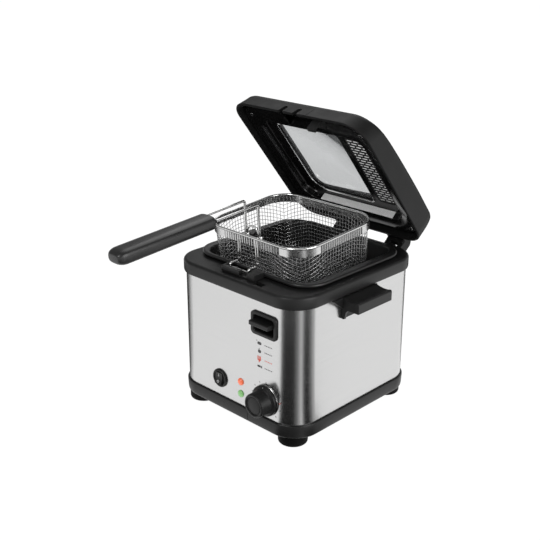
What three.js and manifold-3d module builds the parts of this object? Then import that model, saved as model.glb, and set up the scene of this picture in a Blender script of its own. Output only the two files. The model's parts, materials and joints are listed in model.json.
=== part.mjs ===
// Compact deep fryer: square steel housing, hinged lid with a window, wire basket in its draining position.
// Millimetres, +X right, +Y towards the back, +Z up. The lid is modelled shut and turned open about its hinge.
import * as THREE from "three";
import { mergeVertices } from "three/addons/utils/BufferGeometryUtils.js";
import Module from "manifold-3d";

const wasm = await Module();
wasm.setup();

// ---------------------------------------------------------------- driving dimensions
const GAP = 0.3; // between pieces that touch
const COLLAR = { w: 200, d: 213, r: 34.6, z0: 167.5, z1: 182.3 };
const HOUSING_INSET = 2.8;
const HOUSING_WALL = 1;
const HOUSING_Z = 28;
const HOUSING = {
  w: COLLAR.w - 2 * HOUSING_INSET,
  d: COLLAR.d - 2 * HOUSING_INSET,
  r: COLLAR.r - HOUSING_INSET,
};
const FRONT_Y = -HOUSING.d / 2; // outer face of the steel front
const SIDE_X = HOUSING.w / 2;
const BASE = { w: 199, d: 212, r: 34, z0: 12, floor: 3, wall: 3, chamfer: 3 };
const FOOT = { x: 74.5, y: 83.5, r: 17 };
const TANK = { y: 4.7, w: 183, d: 171, r: 29, rim: 188, inW: 160, inD: 160, inR: 22, floor: 80, wall: 1.5 };
const ELEMENT_Z = 73;

const HANDLE_X = -5; // the basket handle sits a little left of the middle
const WIRE_SPAN = 21; // between the two handle wires
const WIRE_R = 1.5;
const BASKET = { y: -10.2, z: 228.1, w: 154, d: 134, r: 30, depth: 68, taper: 2.5, band: 8 }; // (y, z) is the rim's middle
const BASKET_TILT = THREE.MathUtils.degToRad(4); // it hangs with its front edge low
const HANDLE = { legY: -56.2, foot: -9, top: 34.9 }; // in the basket's own tilted frame
const GRIP = { y0: -117.4, z: 32.6, length: 126.7, w: 24, h: 16 };

const ARM = 7; // width of each prong of the lid's forked arms
const EAR = { near: 5.6, far: 0.6 }; // each ear's reach to either side of its hinge's middle
const LID_OPEN = THREE.MathUtils.degToRad(51.4);
const HINGE = { y: 115.2, z: 171.2, r: 7, pin: 2.5, left: -30, right: 53, half: 13 };
const LID = { w: 197.7, y0: -105.2, y1: 102.9, r: 27.5, z0: 182.6, wall: 3 };
// The lid's outer surface as [height above z0, inset of the front edge, inset of the back edge]:
// an upright front, then a rounded brow that eases up to the highest line near the back.
const LID_LEVELS = [
  [0, 0, 0],
  [15.5, 6.2, 0],
  [21.5, 9.5, 0.4],
  [24.8, 27, 1],
  [28, 90, 2.4],
  [30, 140, 5],
];
const PANEL = { z: 188.9, t: 2, ceiling: 199.3, dishX: 78, dishY0: -70, dishY1: 73 };
const WINDOW = { x0: -62, x1: 31, y0: -56, y1: 61, r: [3, 3, 22, 4] };
const VENT = { x0: 39, x1: 66, y0: -56, y1: 59 };
const LATCH_X = 50; // bezel and lever
const CATCH = { x: 35, y: -99.4, z: 171 }; // where the lid's hook drops through the collar

const KNOB = { x: 52, z: 50.5 };
const SWITCH = { x: -22.3, z: 51 };
const LAMPS = [
  ["red_lamp_lens", 11.8, 58.4, 0xff4a22],
  ["green_lamp_lens", 11.8, 43.2, 0x53c05a],
];
const BEZEL = { w: 38.8, h: 27.6, z: 140.8 };
const LEVER = { y: -98, z: 143.5 };
const CARRY = { y0: -33, y1: 25, z0: 152.5, z1: 165, reach: 24.5, plateZ: 141, web: 4 };

// ---------------------------------------------------------------- materials
const material = (color, roughness, metalness = 0) => new THREE.MeshStandardMaterial({ color, roughness, metalness });
const BLACK = () => material(0x2e2e2e, 0.55);
const GLOSS = () => material(0x111111, 0.15);
const STEEL = () => material(0xd2d2d2, 0.3, 1);
const WIRE = () => material(0xe6e6e6, 0.15, 1);
const RUBBER = () => material(0x181818, 0.8);

// ---------------------------------------------------------------- solids
const CORNER_STEPS = 5;

function solidOf(geometry) {
  const bare = geometry.index ? geometry.toNonIndexed() : geometry.clone();
  for (const name of Object.keys(bare.attributes)) {
    if (name !== "position") bare.deleteAttribute(name);
  }
  const merged = mergeVertices(bare, 1e-4);
  return new wasm.Manifold(
    new wasm.Mesh({
      numProp: 3,
      vertProperties: merged.attributes.position.array,
      triVerts: new Uint32Array(merged.index.array),
    }),
  );
}

function geometryOf(solid) {
  const mesh = solid.getMesh();
  const geometry = new THREE.BufferGeometry();
  geometry.setAttribute("position", new THREE.BufferAttribute(mesh.vertProperties, 3));
  geometry.setIndex(new THREE.BufferAttribute(mesh.triVerts, 1));
  return geometry;
}

const join = (...parts) => geometryOf(parts.map(solidOf).reduce((a, b) => a.add(b)));
const cut = (from, ...tools) => geometryOf(tools.map(solidOf).reduce((a, b) => a.subtract(b), solidOf(from)));

function box(x0, x1, y0, y1, z0, z1) {
  const geometry = new THREE.BoxGeometry(x1 - x0, y1 - y0, z1 - z0);
  return geometry.translate((x0 + x1) / 2, (y0 + y1) / 2, (z0 + z1) / 2);
}

// A rounded rectangle as a three.js shape. The radius is one number, or four from the front right corner round.
function roundedShape(w, d, radius, cx = 0, cy = 0) {
  const shape = new THREE.Shape();
  const corners = [
    [1, -1, -0.5],
    [1, 1, 0],
    [-1, 1, 0.5],
    [-1, -1, 1],
  ];
  corners.forEach(([sx, sy, turn], i) => {
    const r = Array.isArray(radius) ? radius[i] : radius;
    const start = turn * Math.PI;
    shape.absarc(cx + sx * (w / 2 - r), cy + sy * (d / 2 - r), r, start, start + Math.PI / 2, false);
  });
  return shape;
}

function prism(shape, z0, z1, bevel = 0) {
  const geometry = new THREE.ExtrudeGeometry(shape, {
    depth: z1 - z0 - 2 * bevel,
    curveSegments: CORNER_STEPS,
    bevelEnabled: bevel > 0,
    bevelThickness: bevel,
    bevelSize: bevel,
    bevelOffset: -bevel,
    bevelSegments: 1,
  });
  return geometry.translate(0, 0, z0 + bevel);
}

const slab = (w, d, r, z0, z1, cx = 0, cy = 0, bevel = 0) => prism(roundedShape(w, d, r, cx, cy), z0, z1, bevel);

// A solid through a stack of rounded rectangles, each { w, d, r, z, cx, cy }.
function loft(sections) {
  const rings = sections.map((s) => {
    const shape = roundedShape(s.w, s.d, s.r, s.cx ?? 0, s.cy ?? 0);
    return shape.extractPoints(CORNER_STEPS).shape.map((p) => [p.x, p.y, s.z]);
  });
  const count = rings[0].length - 1; // the last point repeats the first
  const points = rings.flatMap((ring) => ring.slice(0, count)).flat();
  const faces = [];
  for (let level = 0; level + 1 < rings.length; level++) {
    for (let i = 0; i < count; i++) {
      const [a, b] = [level * count + i, level * count + ((i + 1) % count)];
      faces.push(a, b, b + count, a, b + count, a + count);
    }
  }
  const top = (rings.length - 1) * count;
  for (let i = 1; i + 1 < count; i++) {
    faces.push(0, i + 1, i);
    faces.push(top, top + i, top + i + 1);
  }
  const geometry = new THREE.BufferGeometry();
  geometry.setAttribute("position", new THREE.Float32BufferAttribute(points, 3));
  geometry.setIndex(faces);
  return geometry;
}

// A solid of revolution about Z from [radius, z] pairs that start and end on the axis or close on themselves.
function turned(profile, steps = 20) {
  const points = profile.map(([r, z]) => new THREE.Vector2(r, z));
  return new THREE.LatheGeometry(points, steps).rotateX(Math.PI / 2);
}

const disc = (r, z0, z1, steps = 20) => turned([[0, z0], [r, z0], [r, z1], [0, z1]], steps);
const ring = (r0, r1, z0, z1, steps = 20) => turned([[r0, z0], [r1, z0], [r1, z1], [r0, z1], [r0, z0]], steps);

// Turns a solid made along +Z so that +Z points out of the front, and puts its origin at (x, y, z).
const facingFront = (geometry, x, y, z) => geometry.rotateX(Math.PI / 2).translate(x, y, z);
const alongX = (geometry, x, y, z) => geometry.rotateY(Math.PI / 2).translate(x, y, z);

// A profile of [y, z] points run along X.
function sideways(profile, x0, x1) {
  const shape = new THREE.Shape(profile.map(([y, z]) => new THREE.Vector2(y, z)));
  const basis = [new THREE.Vector3(0, 1, 0), new THREE.Vector3(0, 0, 1), new THREE.Vector3(1, 0, 0)];
  return prism(shape, x0, x1).applyMatrix4(new THREE.Matrix4().makeBasis(...basis));
}

// A round wire through points, with its corners rounded by the bend radius.
function wire(points, radius, bend = 4, sides = 8) {
  const corners = points.map((p) => new THREE.Vector3(...p));
  const path = new THREE.CurvePath();
  let from = corners[0];
  for (let i = 1; i + 1 < corners.length; i++) {
    const before = corners[i].clone().add(corners[i - 1].clone().sub(corners[i]).setLength(bend));
    const after = corners[i].clone().add(corners[i + 1].clone().sub(corners[i]).setLength(bend));
    path.add(new THREE.LineCurve3(from, before));
    path.add(new THREE.QuadraticBezierCurve3(before, corners[i], after));
    from = after;
  }
  path.add(new THREE.LineCurve3(from, corners.at(-1)));
  const section = new THREE.Shape();
  for (let i = 0; i < sides; i++) {
    const turn = (2 * Math.PI * i) / sides;
    const move = i ? "lineTo" : "moveTo";
    section[move](radius * Math.cos(turn), radius * Math.sin(turn));
  }
  const steps = Math.max(1, Math.ceil(path.getLength() / (3.2 * radius)));
  return new THREE.ExtrudeGeometry(section, { steps, extrudePath: path, bevelEnabled: false });
}

function piece(group, name, geometry, look) {
  const mesh = new THREE.Mesh(geometry, look);
  mesh.name = name;
  group.add(mesh);
  return mesh;
}

// ---------------------------------------------------------------- housing
function addFeet(group) {
  for (const [name, sx, sy] of [
    ["foot_front_left", -1, -1],
    ["foot_front_right", 1, -1],
    ["foot_back_left", -1, 1],
    ["foot_back_right", 1, 1],
  ]) {
    const foot = turned([[0, 0], [FOOT.r - 2.5, 0], [FOOT.r, 2.5], [FOOT.r, BASE.z0 - GAP], [0, BASE.z0 - GAP]]);
    piece(group, name, foot.translate(sx * FOOT.x, sy * FOOT.y, 0), RUBBER());
  }
}

function addBase(group) {
  const { w, d, r, z0, wall, floor, chamfer } = BASE;
  const outside = loft([
    { w: w - 2 * chamfer, d: d - 2 * chamfer, r: r - chamfer, z: z0 },
    { w: w - 1, d: d - 1, r, z: z0 + chamfer },
    { w, d, r, z: HOUSING_Z },
  ]);
  const inside = slab(w - 2 * wall - 4, d - 2 * wall - 4, r - wall - 2, z0 + floor, HOUSING_Z + 1);
  const vents = [];
  for (let i = -3; i <= 3; i++) {
    vents.push(box(i * 12 - 2, i * 12 + 2, -20, 20, z0 - 1, z0 + floor + 1));
  }
  piece(group, "base_tray", cut(outside, inside, ...vents), BLACK());
}

function addHousing(group) {
  const { w, d, r } = HOUSING;
  const [z0, z1] = [HOUSING_Z + GAP, COLLAR.z0 - GAP];
  const wall = 2 * HOUSING_WALL;
  const holes = [
    facingFront(disc(4.5, -3, 3, 12), KNOB.x, FRONT_Y, KNOB.z),
    facingFront(disc(9.8, -3, 3), SWITCH.x, FRONT_Y, SWITCH.z),
    box(LATCH_X - 16.5, LATCH_X + 16.5, FRONT_Y - 3, FRONT_Y + 3, BEZEL.z - 11, BEZEL.z + 11),
    box(-7.5, 7.5, -FRONT_Y - 3, -FRONT_Y + 3, 40.5, 55.5),
  ];
  for (const [, x, z] of LAMPS) {
    holes.push(facingFront(disc(3.3, -3, 3, 12), x, FRONT_Y, z));
  }
  const inner = slab(w - wall, d - wall, r - HOUSING_WALL, z0 - 1, z1 + 1);
  piece(group, "steel_housing", cut(slab(w, d, r, z0, z1), inner, ...holes), STEEL());
}

function addCollar(group) {
  const { w, d, r, z0, z1 } = COLLAR;
  const outside = loft([
    { w: w - 1, d: d - 1, r, z: z0 },
    { w, d, r, z: z0 + 2 },
    { w, d, r, z: z1 - 3 },
    { w: w - 5, d: d - 5, r: r - 2.5, z: z1 },
  ]);
  const tankHole = slab(TANK.inW + 6, TANK.inD + 6, TANK.inR + 3, z0 - 1, z1 + 1, 0, TANK.y);
  const hollow = slab(w - 9, d - 9, r - 4.5, z0 - 1, z1 - 4);
  const lip = cut(hollow, slab(TANK.inW + 11, TANK.inD + 11, TANK.inR + 5, z0 - 2, z1, 0, TANK.y));
  const latchSlot = box(CATCH.x - 7, CATCH.x + 7, -100.6, -92.8, z1 - 5, z1 + 1);
  const ears = [];
  for (const x of [HINGE.left, HINGE.right]) {
    ears.push(box(x - EAR.near, x + EAR.far, d / 2 - 6, HINGE.y, z0 + GAP, HINGE.z + HINGE.r));
    ears.push(alongX(disc(HINGE.r, 0, EAR.near + EAR.far, 16), x - EAR.near, HINGE.y, HINGE.z));
  }
  const pinHoles = alongX(disc(HINGE.pin + 0.3, -80, 80, 12), 0, HINGE.y, HINGE.z);
  const body = cut(outside, tankHole, lip, latchSlot);
  piece(group, "top_collar", cut(join(body, ...ears), pinHoles), BLACK());
}

// The little rest on the front of the tank rim, with the trough that the drain hook drops into.
const REST = { x0: -24, x1: 27, y0: -97, z1: 189.2 };
const HOOK = { x0: -19.5, x1: 10, y: -88.5, inner: -77.2, z: 189.9, r: 1.3, low: 186.2 };

function addTank(group) {
  const { y, w, d, r, rim, inW, inD, inR, floor, wall } = TANK;
  const flange = slab(w, d, r, COLLAR.z1 + 1.8, rim, 0, y, 1.2);
  const shell = loft([
    { w: inW - 8, d: inD - 8, r: inR, z: floor, cy: y },
    { w: inW + 2 * wall, d: inD + 2 * wall, r: inR + wall, z: floor + 8, cy: y },
    { w: inW + 2 * wall, d: inD + 2 * wall, r: inR + wall, z: rim - 1, cy: y },
  ]);
  const inside = loft([
    { w: inW - 10, d: inD - 10, r: inR - 1, z: floor + wall, cy: y },
    { w: inW, d: inD, r: inR, z: floor + 9, cy: y },
    { w: inW, d: inD, r: inR, z: rim + 1, cy: y },
  ]);
  piece(group, "oil_tank", cut(join(flange, shell), inside), material(0x242424, 0.4, 0.2));

  const { z1 } = COLLAR;
  const around = 2 * (wall + GAP);
  const seal = slab(w - 8, d - 2, r - 4, z1 + GAP, z1 + 1.5, 0, y);
  const opening = slab(inW + around, inD + around, inR + wall + GAP, z1, z1 + 2, 0, y);
  piece(group, "tank_gasket", cut(seal, opening), RUBBER());

  const block = box(REST.x0, REST.x1, REST.y0, y - d / 2 - GAP, COLLAR.z1 + GAP, REST.z1);
  const trough = box(HOOK.x0 - 2.5, HOOK.x1 + 3, HOOK.y - 3.5, HOOK.y + 10, HOOK.low - 2, REST.z1 + 1);
  const slot = box(4, 16, REST.y0 - 1, HOOK.y, HOOK.low - 2, REST.z1 + 1);
  piece(group, "basket_rest", cut(block, trough, slot), BLACK());

  const hook = [
    [HOOK.x0, HOOK.inner, HOOK.z],
    [HOOK.x0, HOOK.y, HOOK.z],
    [HOOK.x0, HOOK.y, HOOK.low],
    [HOOK.x1, HOOK.y, HOOK.low],
    [HOOK.x1, HOOK.y, HOOK.z],
    [HOOK.x1, HOOK.inner, HOOK.z],
  ];
  piece(group, "drain_hook", wire(hook, HOOK.r, 1.8, 8), WIRE());
}

// ---------------------------------------------------------------- inside the housing
function addHeater(group) {
  const loop = [
    [-10, -80, ELEMENT_Z + 3],
    [-10, -60, ELEMENT_Z + 3],
    [-62, -60, ELEMENT_Z + 3],
    [-62, 66, ELEMENT_Z + 3],
    [62, 66, ELEMENT_Z + 3],
    [62, -60, ELEMENT_Z + 3],
    [10, -60, ELEMENT_Z + 3],
    [10, -80, ELEMENT_Z + 3],
  ];
  piece(group, "heating_element", wire(loop, 3.3, 12, 6), material(0x6b6f6d, 0.5, 0.8));
  const tray = cut(slab(156, 156, 20, 60, 67, 0, TANK.y), slab(154, 154, 19, 61, 68, 0, TANK.y));
  piece(group, "heat_shield", tray, STEEL());
  piece(group, "thermal_cutout", disc(9, 61.3, 70, 16), material(0xd8d4c8, 0.6));
}

function addElectrics(group) {
  const { x, z } = KNOB;
  piece(group, "thermostat_body", box(x - 17, x + 17, -100.4, -78, z - 17, z + 17), material(0xc9c2ad, 0.6));
  const capillary = [
    [x, -88, z + 17 + GAP],
    [x, -88, 96],
    [30, -82, 96],
    [10.3, -82, 96],
  ];
  piece(group, "sensor_capillary", wire(capillary, 1, 5, 6), material(0xb87333, 0.4, 1));
  piece(group, "sensor_bulb", alongX(disc(3, 0, 50, 12), -40, -82, 96), material(0xb87333, 0.4, 1));
  piece(group, "terminal_block", box(-35, -8, 70, 86, 30, 46), material(0xe8e4da, 0.6));
  const gland = join(box(-10, 10, 104, 108.2, 38, 58), box(-7.2, 7.2, 94, 105, 40.8, 55.2));
  const bore = facingFront(disc(3.6, -112, -90, 12), 0, 0, 48);
  piece(group, "cord_gland", cut(gland, bore), BLACK());
}

// ---------------------------------------------------------------- controls on the front
function addSwitch(group, moving) {
  const { x, z } = SWITCH;
  const barrel = turned([[0, -15], [9.5, -15], [9.5, GAP], [11.3, GAP], [11.3, 1.6], [10.5, 2.3], [0, 2.3]]);
  const pocket = box(x - 5.8, x + 5.8, FRONT_Y - 4, FRONT_Y + 9, z - 8.25, z + 8.25);
  piece(group, "switch_bezel", cut(facingFront(barrel, x, FRONT_Y, z), pocket), BLACK());

  const profile = [
    [-5.2, 7.2],
    [-3.8, 0],
    [-5.2, -7.2],
    [1, -6.6],
    [2.4, 0],
    [1, 6.6],
  ];
  const mesh = piece(moving, "power_rocker", sideways(profile, -5.4, 5.4), BLACK());
  mesh.position.set(x, FRONT_Y + 1.2, z);
  mesh.rotation.x = THREE.MathUtils.degToRad(-8);
}

function addLamps(group) {
  for (const [name, x, z, color] of LAMPS) {
    const lens = turned([[0, -8], [3, -8], [3, GAP], [4.4, GAP], [4.2, 1.3], [2.6, 2.2], [0, 2.5]], 16);
    piece(group, name, facingFront(lens, x, FRONT_Y, z), material(color, 0.2));
  }
}

function addKnob(group, moving) {
  const { x, z } = KNOB;
  piece(group, "dial_ring", facingFront(ring(6, 18.6, GAP, 1.1, 28), x, FRONT_Y, z), STEEL());
  const body = turned(
    [
      [3.3, 1.5],
      [17.8, 1.5],
      [18, 4.6],
      [15.4, 6],
      [14.5, 6.4],
      [14, 19],
      [12.7, 20.2],
      [11.2, 20.2],
      [10.8, 19.5],
      [0, 19.5],
      [0, 13],
      [3.3, 13],
      [3.3, 1.5],
    ],
    28,
  );
  piece(moving, "temperature_knob", facingFront(body, x, FRONT_Y, z), BLACK());
  const shaft = facingFront(disc(3, -3, 12.7, 12), x, FRONT_Y, z);
  piece(moving, "thermostat_shaft", shaft, STEEL());
}

function addLatch(group, moving) {
  const { w, h, z } = BEZEL;
  const across = (shape, y0, y1) => prism(shape, -y1, -y0).rotateX(Math.PI / 2).translate(LATCH_X, 0, z);
  const flange = across(roundedShape(w, h, 5), FRONT_Y - 2.4, FRONT_Y - GAP);
  const tub = across(roundedShape(32, 21, 2), FRONT_Y - 1, -90);
  const hollow = across(roundedShape(29.6, 18.8, 2), FRONT_Y - 4, -91.2);
  const armSlot = box(LATCH_X - 3.5, LATCH_X + 3.5, -102.4, -92.5, z + 8, z + 12);
  piece(group, "latch_bezel", cut(join(flange, tub), hollow, armSlot), BLACK());

  const paddle = box(LATCH_X - 14.3, LATCH_X + 14.3, LEVER.y - 16, LEVER.y - 4.6, LEVER.z - 3, LEVER.z + 3);
  const neck = box(LATCH_X - 14.3, LATCH_X + 8.8, LEVER.y - 5, LEVER.y, LEVER.z - 3, LEVER.z + 3);
  const hub = alongX(disc(2.5, 0, 28.6, 12), LATCH_X - 14.3, LEVER.y, LEVER.z);
  const arm = box(LATCH_X - 2.5, LATCH_X + 2.5, -97, -94.5, LEVER.z - 2, 163);
  const web = box(LATCH_X - 2.5, LATCH_X + 2.5, LEVER.y, -94.5, LEVER.z - 2, LEVER.z + 2);
  piece(moving, "release_lever", join(paddle, neck, hub, arm, web), BLACK());
  const spring = alongX(ring(3, 4.2, 0, 4, 14), LATCH_X + 9.5, LEVER.y, LEVER.z);
  piece(group, "lever_spring", spring, WIRE());
}

// ---------------------------------------------------------------- carry handles
function addCarryHandles(group) {
  const { y0, y1, z0, z1, reach, plateZ, web } = CARRY;
  const near = SIDE_X + GAP;
  const out = SIDE_X + reach;
  const back = near + 2.2; // the plate against the housing ends here
  const outline = [
    [near, plateZ],
    [near + 4, plateZ],
    [near + 6, z0 - 3],
    [near + 9, z0],
    [out, z0],
    [out, z1 - 1],
    [out - 2, z1],
    [out - 9, z1 - 1.6],
    [near + 6, z1 - 1.2],
    [near, z1 + 1],
  ];
  const shoulder = [
    [y0 - 16, z1 + 1],
    [y0, z0 + 1],
    [y1, z0 + 1],
    [y1 + 16, z1 + 1],
  ];
  for (const [name, side] of [
    ["carry_handle_left", -1],
    ["carry_handle_right", 1],
  ]) {
    const along = (x0, x1) => (side > 0 ? [x0, x1] : [-x1, -x0]);
    const section = new THREE.Shape(outline.map(([x, z]) => new THREE.Vector2(side * x, z)));
    const block = prism(section, -y1, -y0).rotateX(Math.PI / 2);
    const pocket = box(...along(back, out - 3.2), y0 + web, y1 - web, plateZ - 1, z1 - 4);
    const plate = sideways(shoulder, ...along(near, back));
    piece(group, name, join(cut(block, pocket), plate), BLACK());
  }
}

// ---------------------------------------------------------------- basket and its handle
// Both are drawn about the middle of the rim, in a frame that the assembly tilts.
function addBasket(group) {
  const { w, d, r, depth, taper, band } = BASKET;
  const level = (inset, z) => ({ w: w - 2 * inset, d: d - 2 * inset, r: r - inset, z });
  const frame = (thick, z0, z1) =>
    cut(slab(w, d, r, z0, z1), slab(w - 2 * thick, d - 2 * thick, r - thick, z0 - 1, z1 + 1));
  piece(group, "basket_rim_wire", frame(3, -2.8, 0), WIRE());
  const bandTop = -2.8 - GAP;
  const bandLow = bandTop - band;
  piece(group, "basket_band", frame(1.2, bandLow, bandTop), STEEL());

  const cup = (shrink, lift) => [
    level(1.5 + taper + 3 + shrink, -depth + lift),
    level(1.5 + taper + shrink, -depth + 4 + lift),
    level(1.5 + shrink, bandTop + lift),
  ];
  piece(group, "basket_mesh", cut(loft(cup(0, 0)), loft(cup(1.5, 1.5))), STEEL());

  const wallY = -d / 2 + 1;
  for (const [name, x] of [
    ["basket_bracket_left", HANDLE_X - 12],
    ["basket_bracket_right", HANDLE_X + 14.8],
  ]) {
    const loop = [
      [x - 1.7, wallY, bandLow - GAP],
      [x - 1.7, wallY, -31],
      [x + 1.7, wallY, -31],
      [x + 1.7, wallY, bandLow - GAP],
    ];
    piece(group, name, wire(loop, 1, 1.6, 6), WIRE());
  }
}

function addHandle(group) {
  const { legY, foot, top } = HANDLE;
  for (const [name, side] of [
    ["left", -1],
    ["right", 1],
  ]) {
    const x = HANDLE_X + (side * WIRE_SPAN) / 2;
    const path = [
      [x, GRIP.y0 + 0.5, top],
      [x, legY, top],
      [x, legY, foot],
    ];
    piece(group, "handle_wire_" + name, wire(path, WIRE_R, 5), WIRE());
    const eye = ring(WIRE_R + GAP, WIRE_R + 1.1, foot + 1, foot + 6, 14).translate(x, legY, 0);
    const tab = box(x - 1.4, x + 1.4, -BASKET.d / 2 + 4, legY - WIRE_R - 0.6, foot + 1, foot + 6);
    piece(group, "handle_eyelet_" + name, join(eye, tab), WIRE());
  }
  const gap = WIRE_SPAN / 2 - WIRE_R - 1;
  const bridge = [
    [HANDLE_X - gap, legY, 1],
    [HANDLE_X, legY, 9],
    [HANDLE_X + gap, legY, 1],
  ];
  piece(group, "handle_bridge", wire(bridge, 1.1, 5, 6), WIRE());

  const { w, h, length } = GRIP;
  const grip = loft([
    { w: w - 7, d: h - 5, r: 5, z: 0 },
    { w, d: h, r: 6.5, z: 5 },
    { w, d: h, r: 6.5, z: length - 16 },
    { w: w - 3, d: h - 2, r: 6, z: length - 6 },
    { w: w - 11, d: h - 8, r: 3.5, z: length },
  ]);
  piece(group, "handle_grip", facingFront(grip, HANDLE_X, GRIP.y0, GRIP.z), BLACK());
}

// ---------------------------------------------------------------- lid, modelled shut
const between = (x0, x1, y0, y1, r, z0, z1) => slab(x1 - x0, y1 - y0, r, z0, z1, (x0 + x1) / 2, (y0 + y1) / 2);
const SCREWS = [
  ["front_left", -82, -78.5],
  ["front_right", 82, -78.5],
  ["back_left", -82, 84],
  ["back_right", 82, 84],
];

function lidShell() {
  const { w, y0, y1, r, z0, wall } = LID;
  const level = (thick, [rise, front, back], drop) => {
    const [near, far] = [y0 + front + thick, y1 - back - thick];
    const d = far - near;
    return { w: w - 2 * thick, d, r: Math.min(r - thick, d / 2.05), z: z0 + rise - drop, cy: (near + far) / 2 };
  };
  const outside = loft(LID_LEVELS.map((step) => level(0, step, 0)));
  const mouth = level(wall, LID_LEVELS[0], 1);
  const inside = loft([mouth, ...LID_LEVELS.slice(1).map((step) => level(wall, step, wall))]);
  const cuts = [between(WINDOW.x0 - 8, WINDOW.x1 + 6, WINDOW.y0 - 8, WINDOW.y1 + 8, 14, 200, 220)];
  for (const side of [-1, 1]) {
    const x = HANDLE_X + (side * WIRE_SPAN) / 2;
    cuts.push(box(x - 3, x + 3, y0 - 1, y0 + 12, z0 - 1, z0 + 8.5));
    cuts.push(facingFront(disc(3, -y0 - 12, -y0 + 1, 12), x, 0, z0 + 8.5));
  }
  for (let i = 0; i < 8; i++) {
    const y = VENT.y0 + 8 + i * 14;
    cuts.push(box(VENT.x0 + 6, VENT.x1 + 2, y - 2, y + 2, 200, 220));
  }
  const arms = [];
  const reach = HINGE.half - ARM;
  for (const middle of [HINGE.left, HINGE.right]) {
    for (const x of [middle - HINGE.half, middle + reach]) {
      arms.push(box(x, x + ARM, HINGE.y - HINGE.r + 0.4, HINGE.y + 5, HINGE.z, z0 + 9));
      arms.push(box(x, x + ARM, y1 - 2.2, HINGE.y + 5, z0 + 0.8, z0 + 9));
      arms.push(alongX(disc(HINGE.r - 0.4, 0, ARM, 16), x, HINGE.y, HINGE.z));
    }
    const bridge = [middle - HINGE.half, middle + HINGE.half];
    arms.push(box(...bridge, y1 - 2.2, HINGE.y + 1, z0 + 0.8, z0 + 9));
    arms.push(box(...bridge, COLLAR.d / 2 + 0.5, HINGE.y + 1, HINGE.z + HINGE.r + 1, z0 + 9));
  }
  const pinHole = alongX(disc(HINGE.pin + GAP, -90, 90, 12), 0, HINGE.y, HINGE.z);
  return cut(join(cut(outside, inside, ...cuts), ...arms), pinHole);
}

// The moulding round the dish: a flat margin with the dish's walls standing up from it.
function lidPanel() {
  const { z, t, ceiling, dishX, dishY0, dishY1 } = PANEL;
  const rim = between(-94.6, 94.6, -95.6, 95.6, 28.5, z, z + t);
  const dish = between(-dishX - t, dishX + t, dishY0 - t, dishY1 + t, 20, z, ceiling + t);
  const bosses = SCREWS.map(([, x, y]) => disc(5, z, z + 6, 12).translate(x, y, 0));
  const cuts = [
    between(-dishX, dishX, dishY0, dishY1, 18, z - 1, ceiling + t + 1),
    box(REST.x0 - 1, REST.x1 + 4, -98, dishY0 + 9, z - 1, ceiling - 0.5),
  ];
  for (const [, x, y] of SCREWS) {
    const seat = turned([[0, z - 1], [3.3, z - 1], [3.3, z + 1.9], [1.8, z + 1.9], [1.8, z + 7], [0, z + 7]], 12);
    cuts.push(seat.translate(x, y, 0));
  }
  return cut(join(rim, dish, ...bosses), ...cuts);
}

// The plate that roofs the dish, with the openings for the window and the vents.
function lidPlate() {
  const { t, ceiling, dishX, dishY0, dishY1 } = PANEL;
  return cut(
    between(-dishX + GAP, dishX - GAP, dishY0 + GAP, dishY1 - GAP, 17.7, ceiling, ceiling + t),
    between(WINDOW.x0, WINDOW.x1, WINDOW.y0, WINDOW.y1, WINDOW.r, ceiling - 1, ceiling + t + 1),
    between(VENT.x0, VENT.x1, VENT.y0, VENT.y1, 6, ceiling - 1, ceiling + t + 1),
  );
}

function ventGrille() {
  const { x0, x1, y0, y1 } = VENT;
  const plate = between(x0 + GAP, x1 - GAP, y0 + GAP, y1 - GAP, 5.7, PANEL.ceiling + 0.2, PANEL.ceiling + 1.8);
  const [rows, columns] = [14, 2];
  const pitch = (y1 - y0 - 8) / rows;
  const slots = [];
  for (let row = 0; row < rows; row++) {
    for (let column = 0; column < columns; column++) {
      const x = x0 + 3.5 + column * 10.5 + (row % 2) * 1.5;
      const y = y0 + 4 + (row + 0.5) * pitch;
      slots.push(box(x, x + 8, y - 1.5, y + 1.5, PANEL.ceiling - 1, PANEL.ceiling + 3));
    }
  }
  return cut(plate, ...slots);
}

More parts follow.
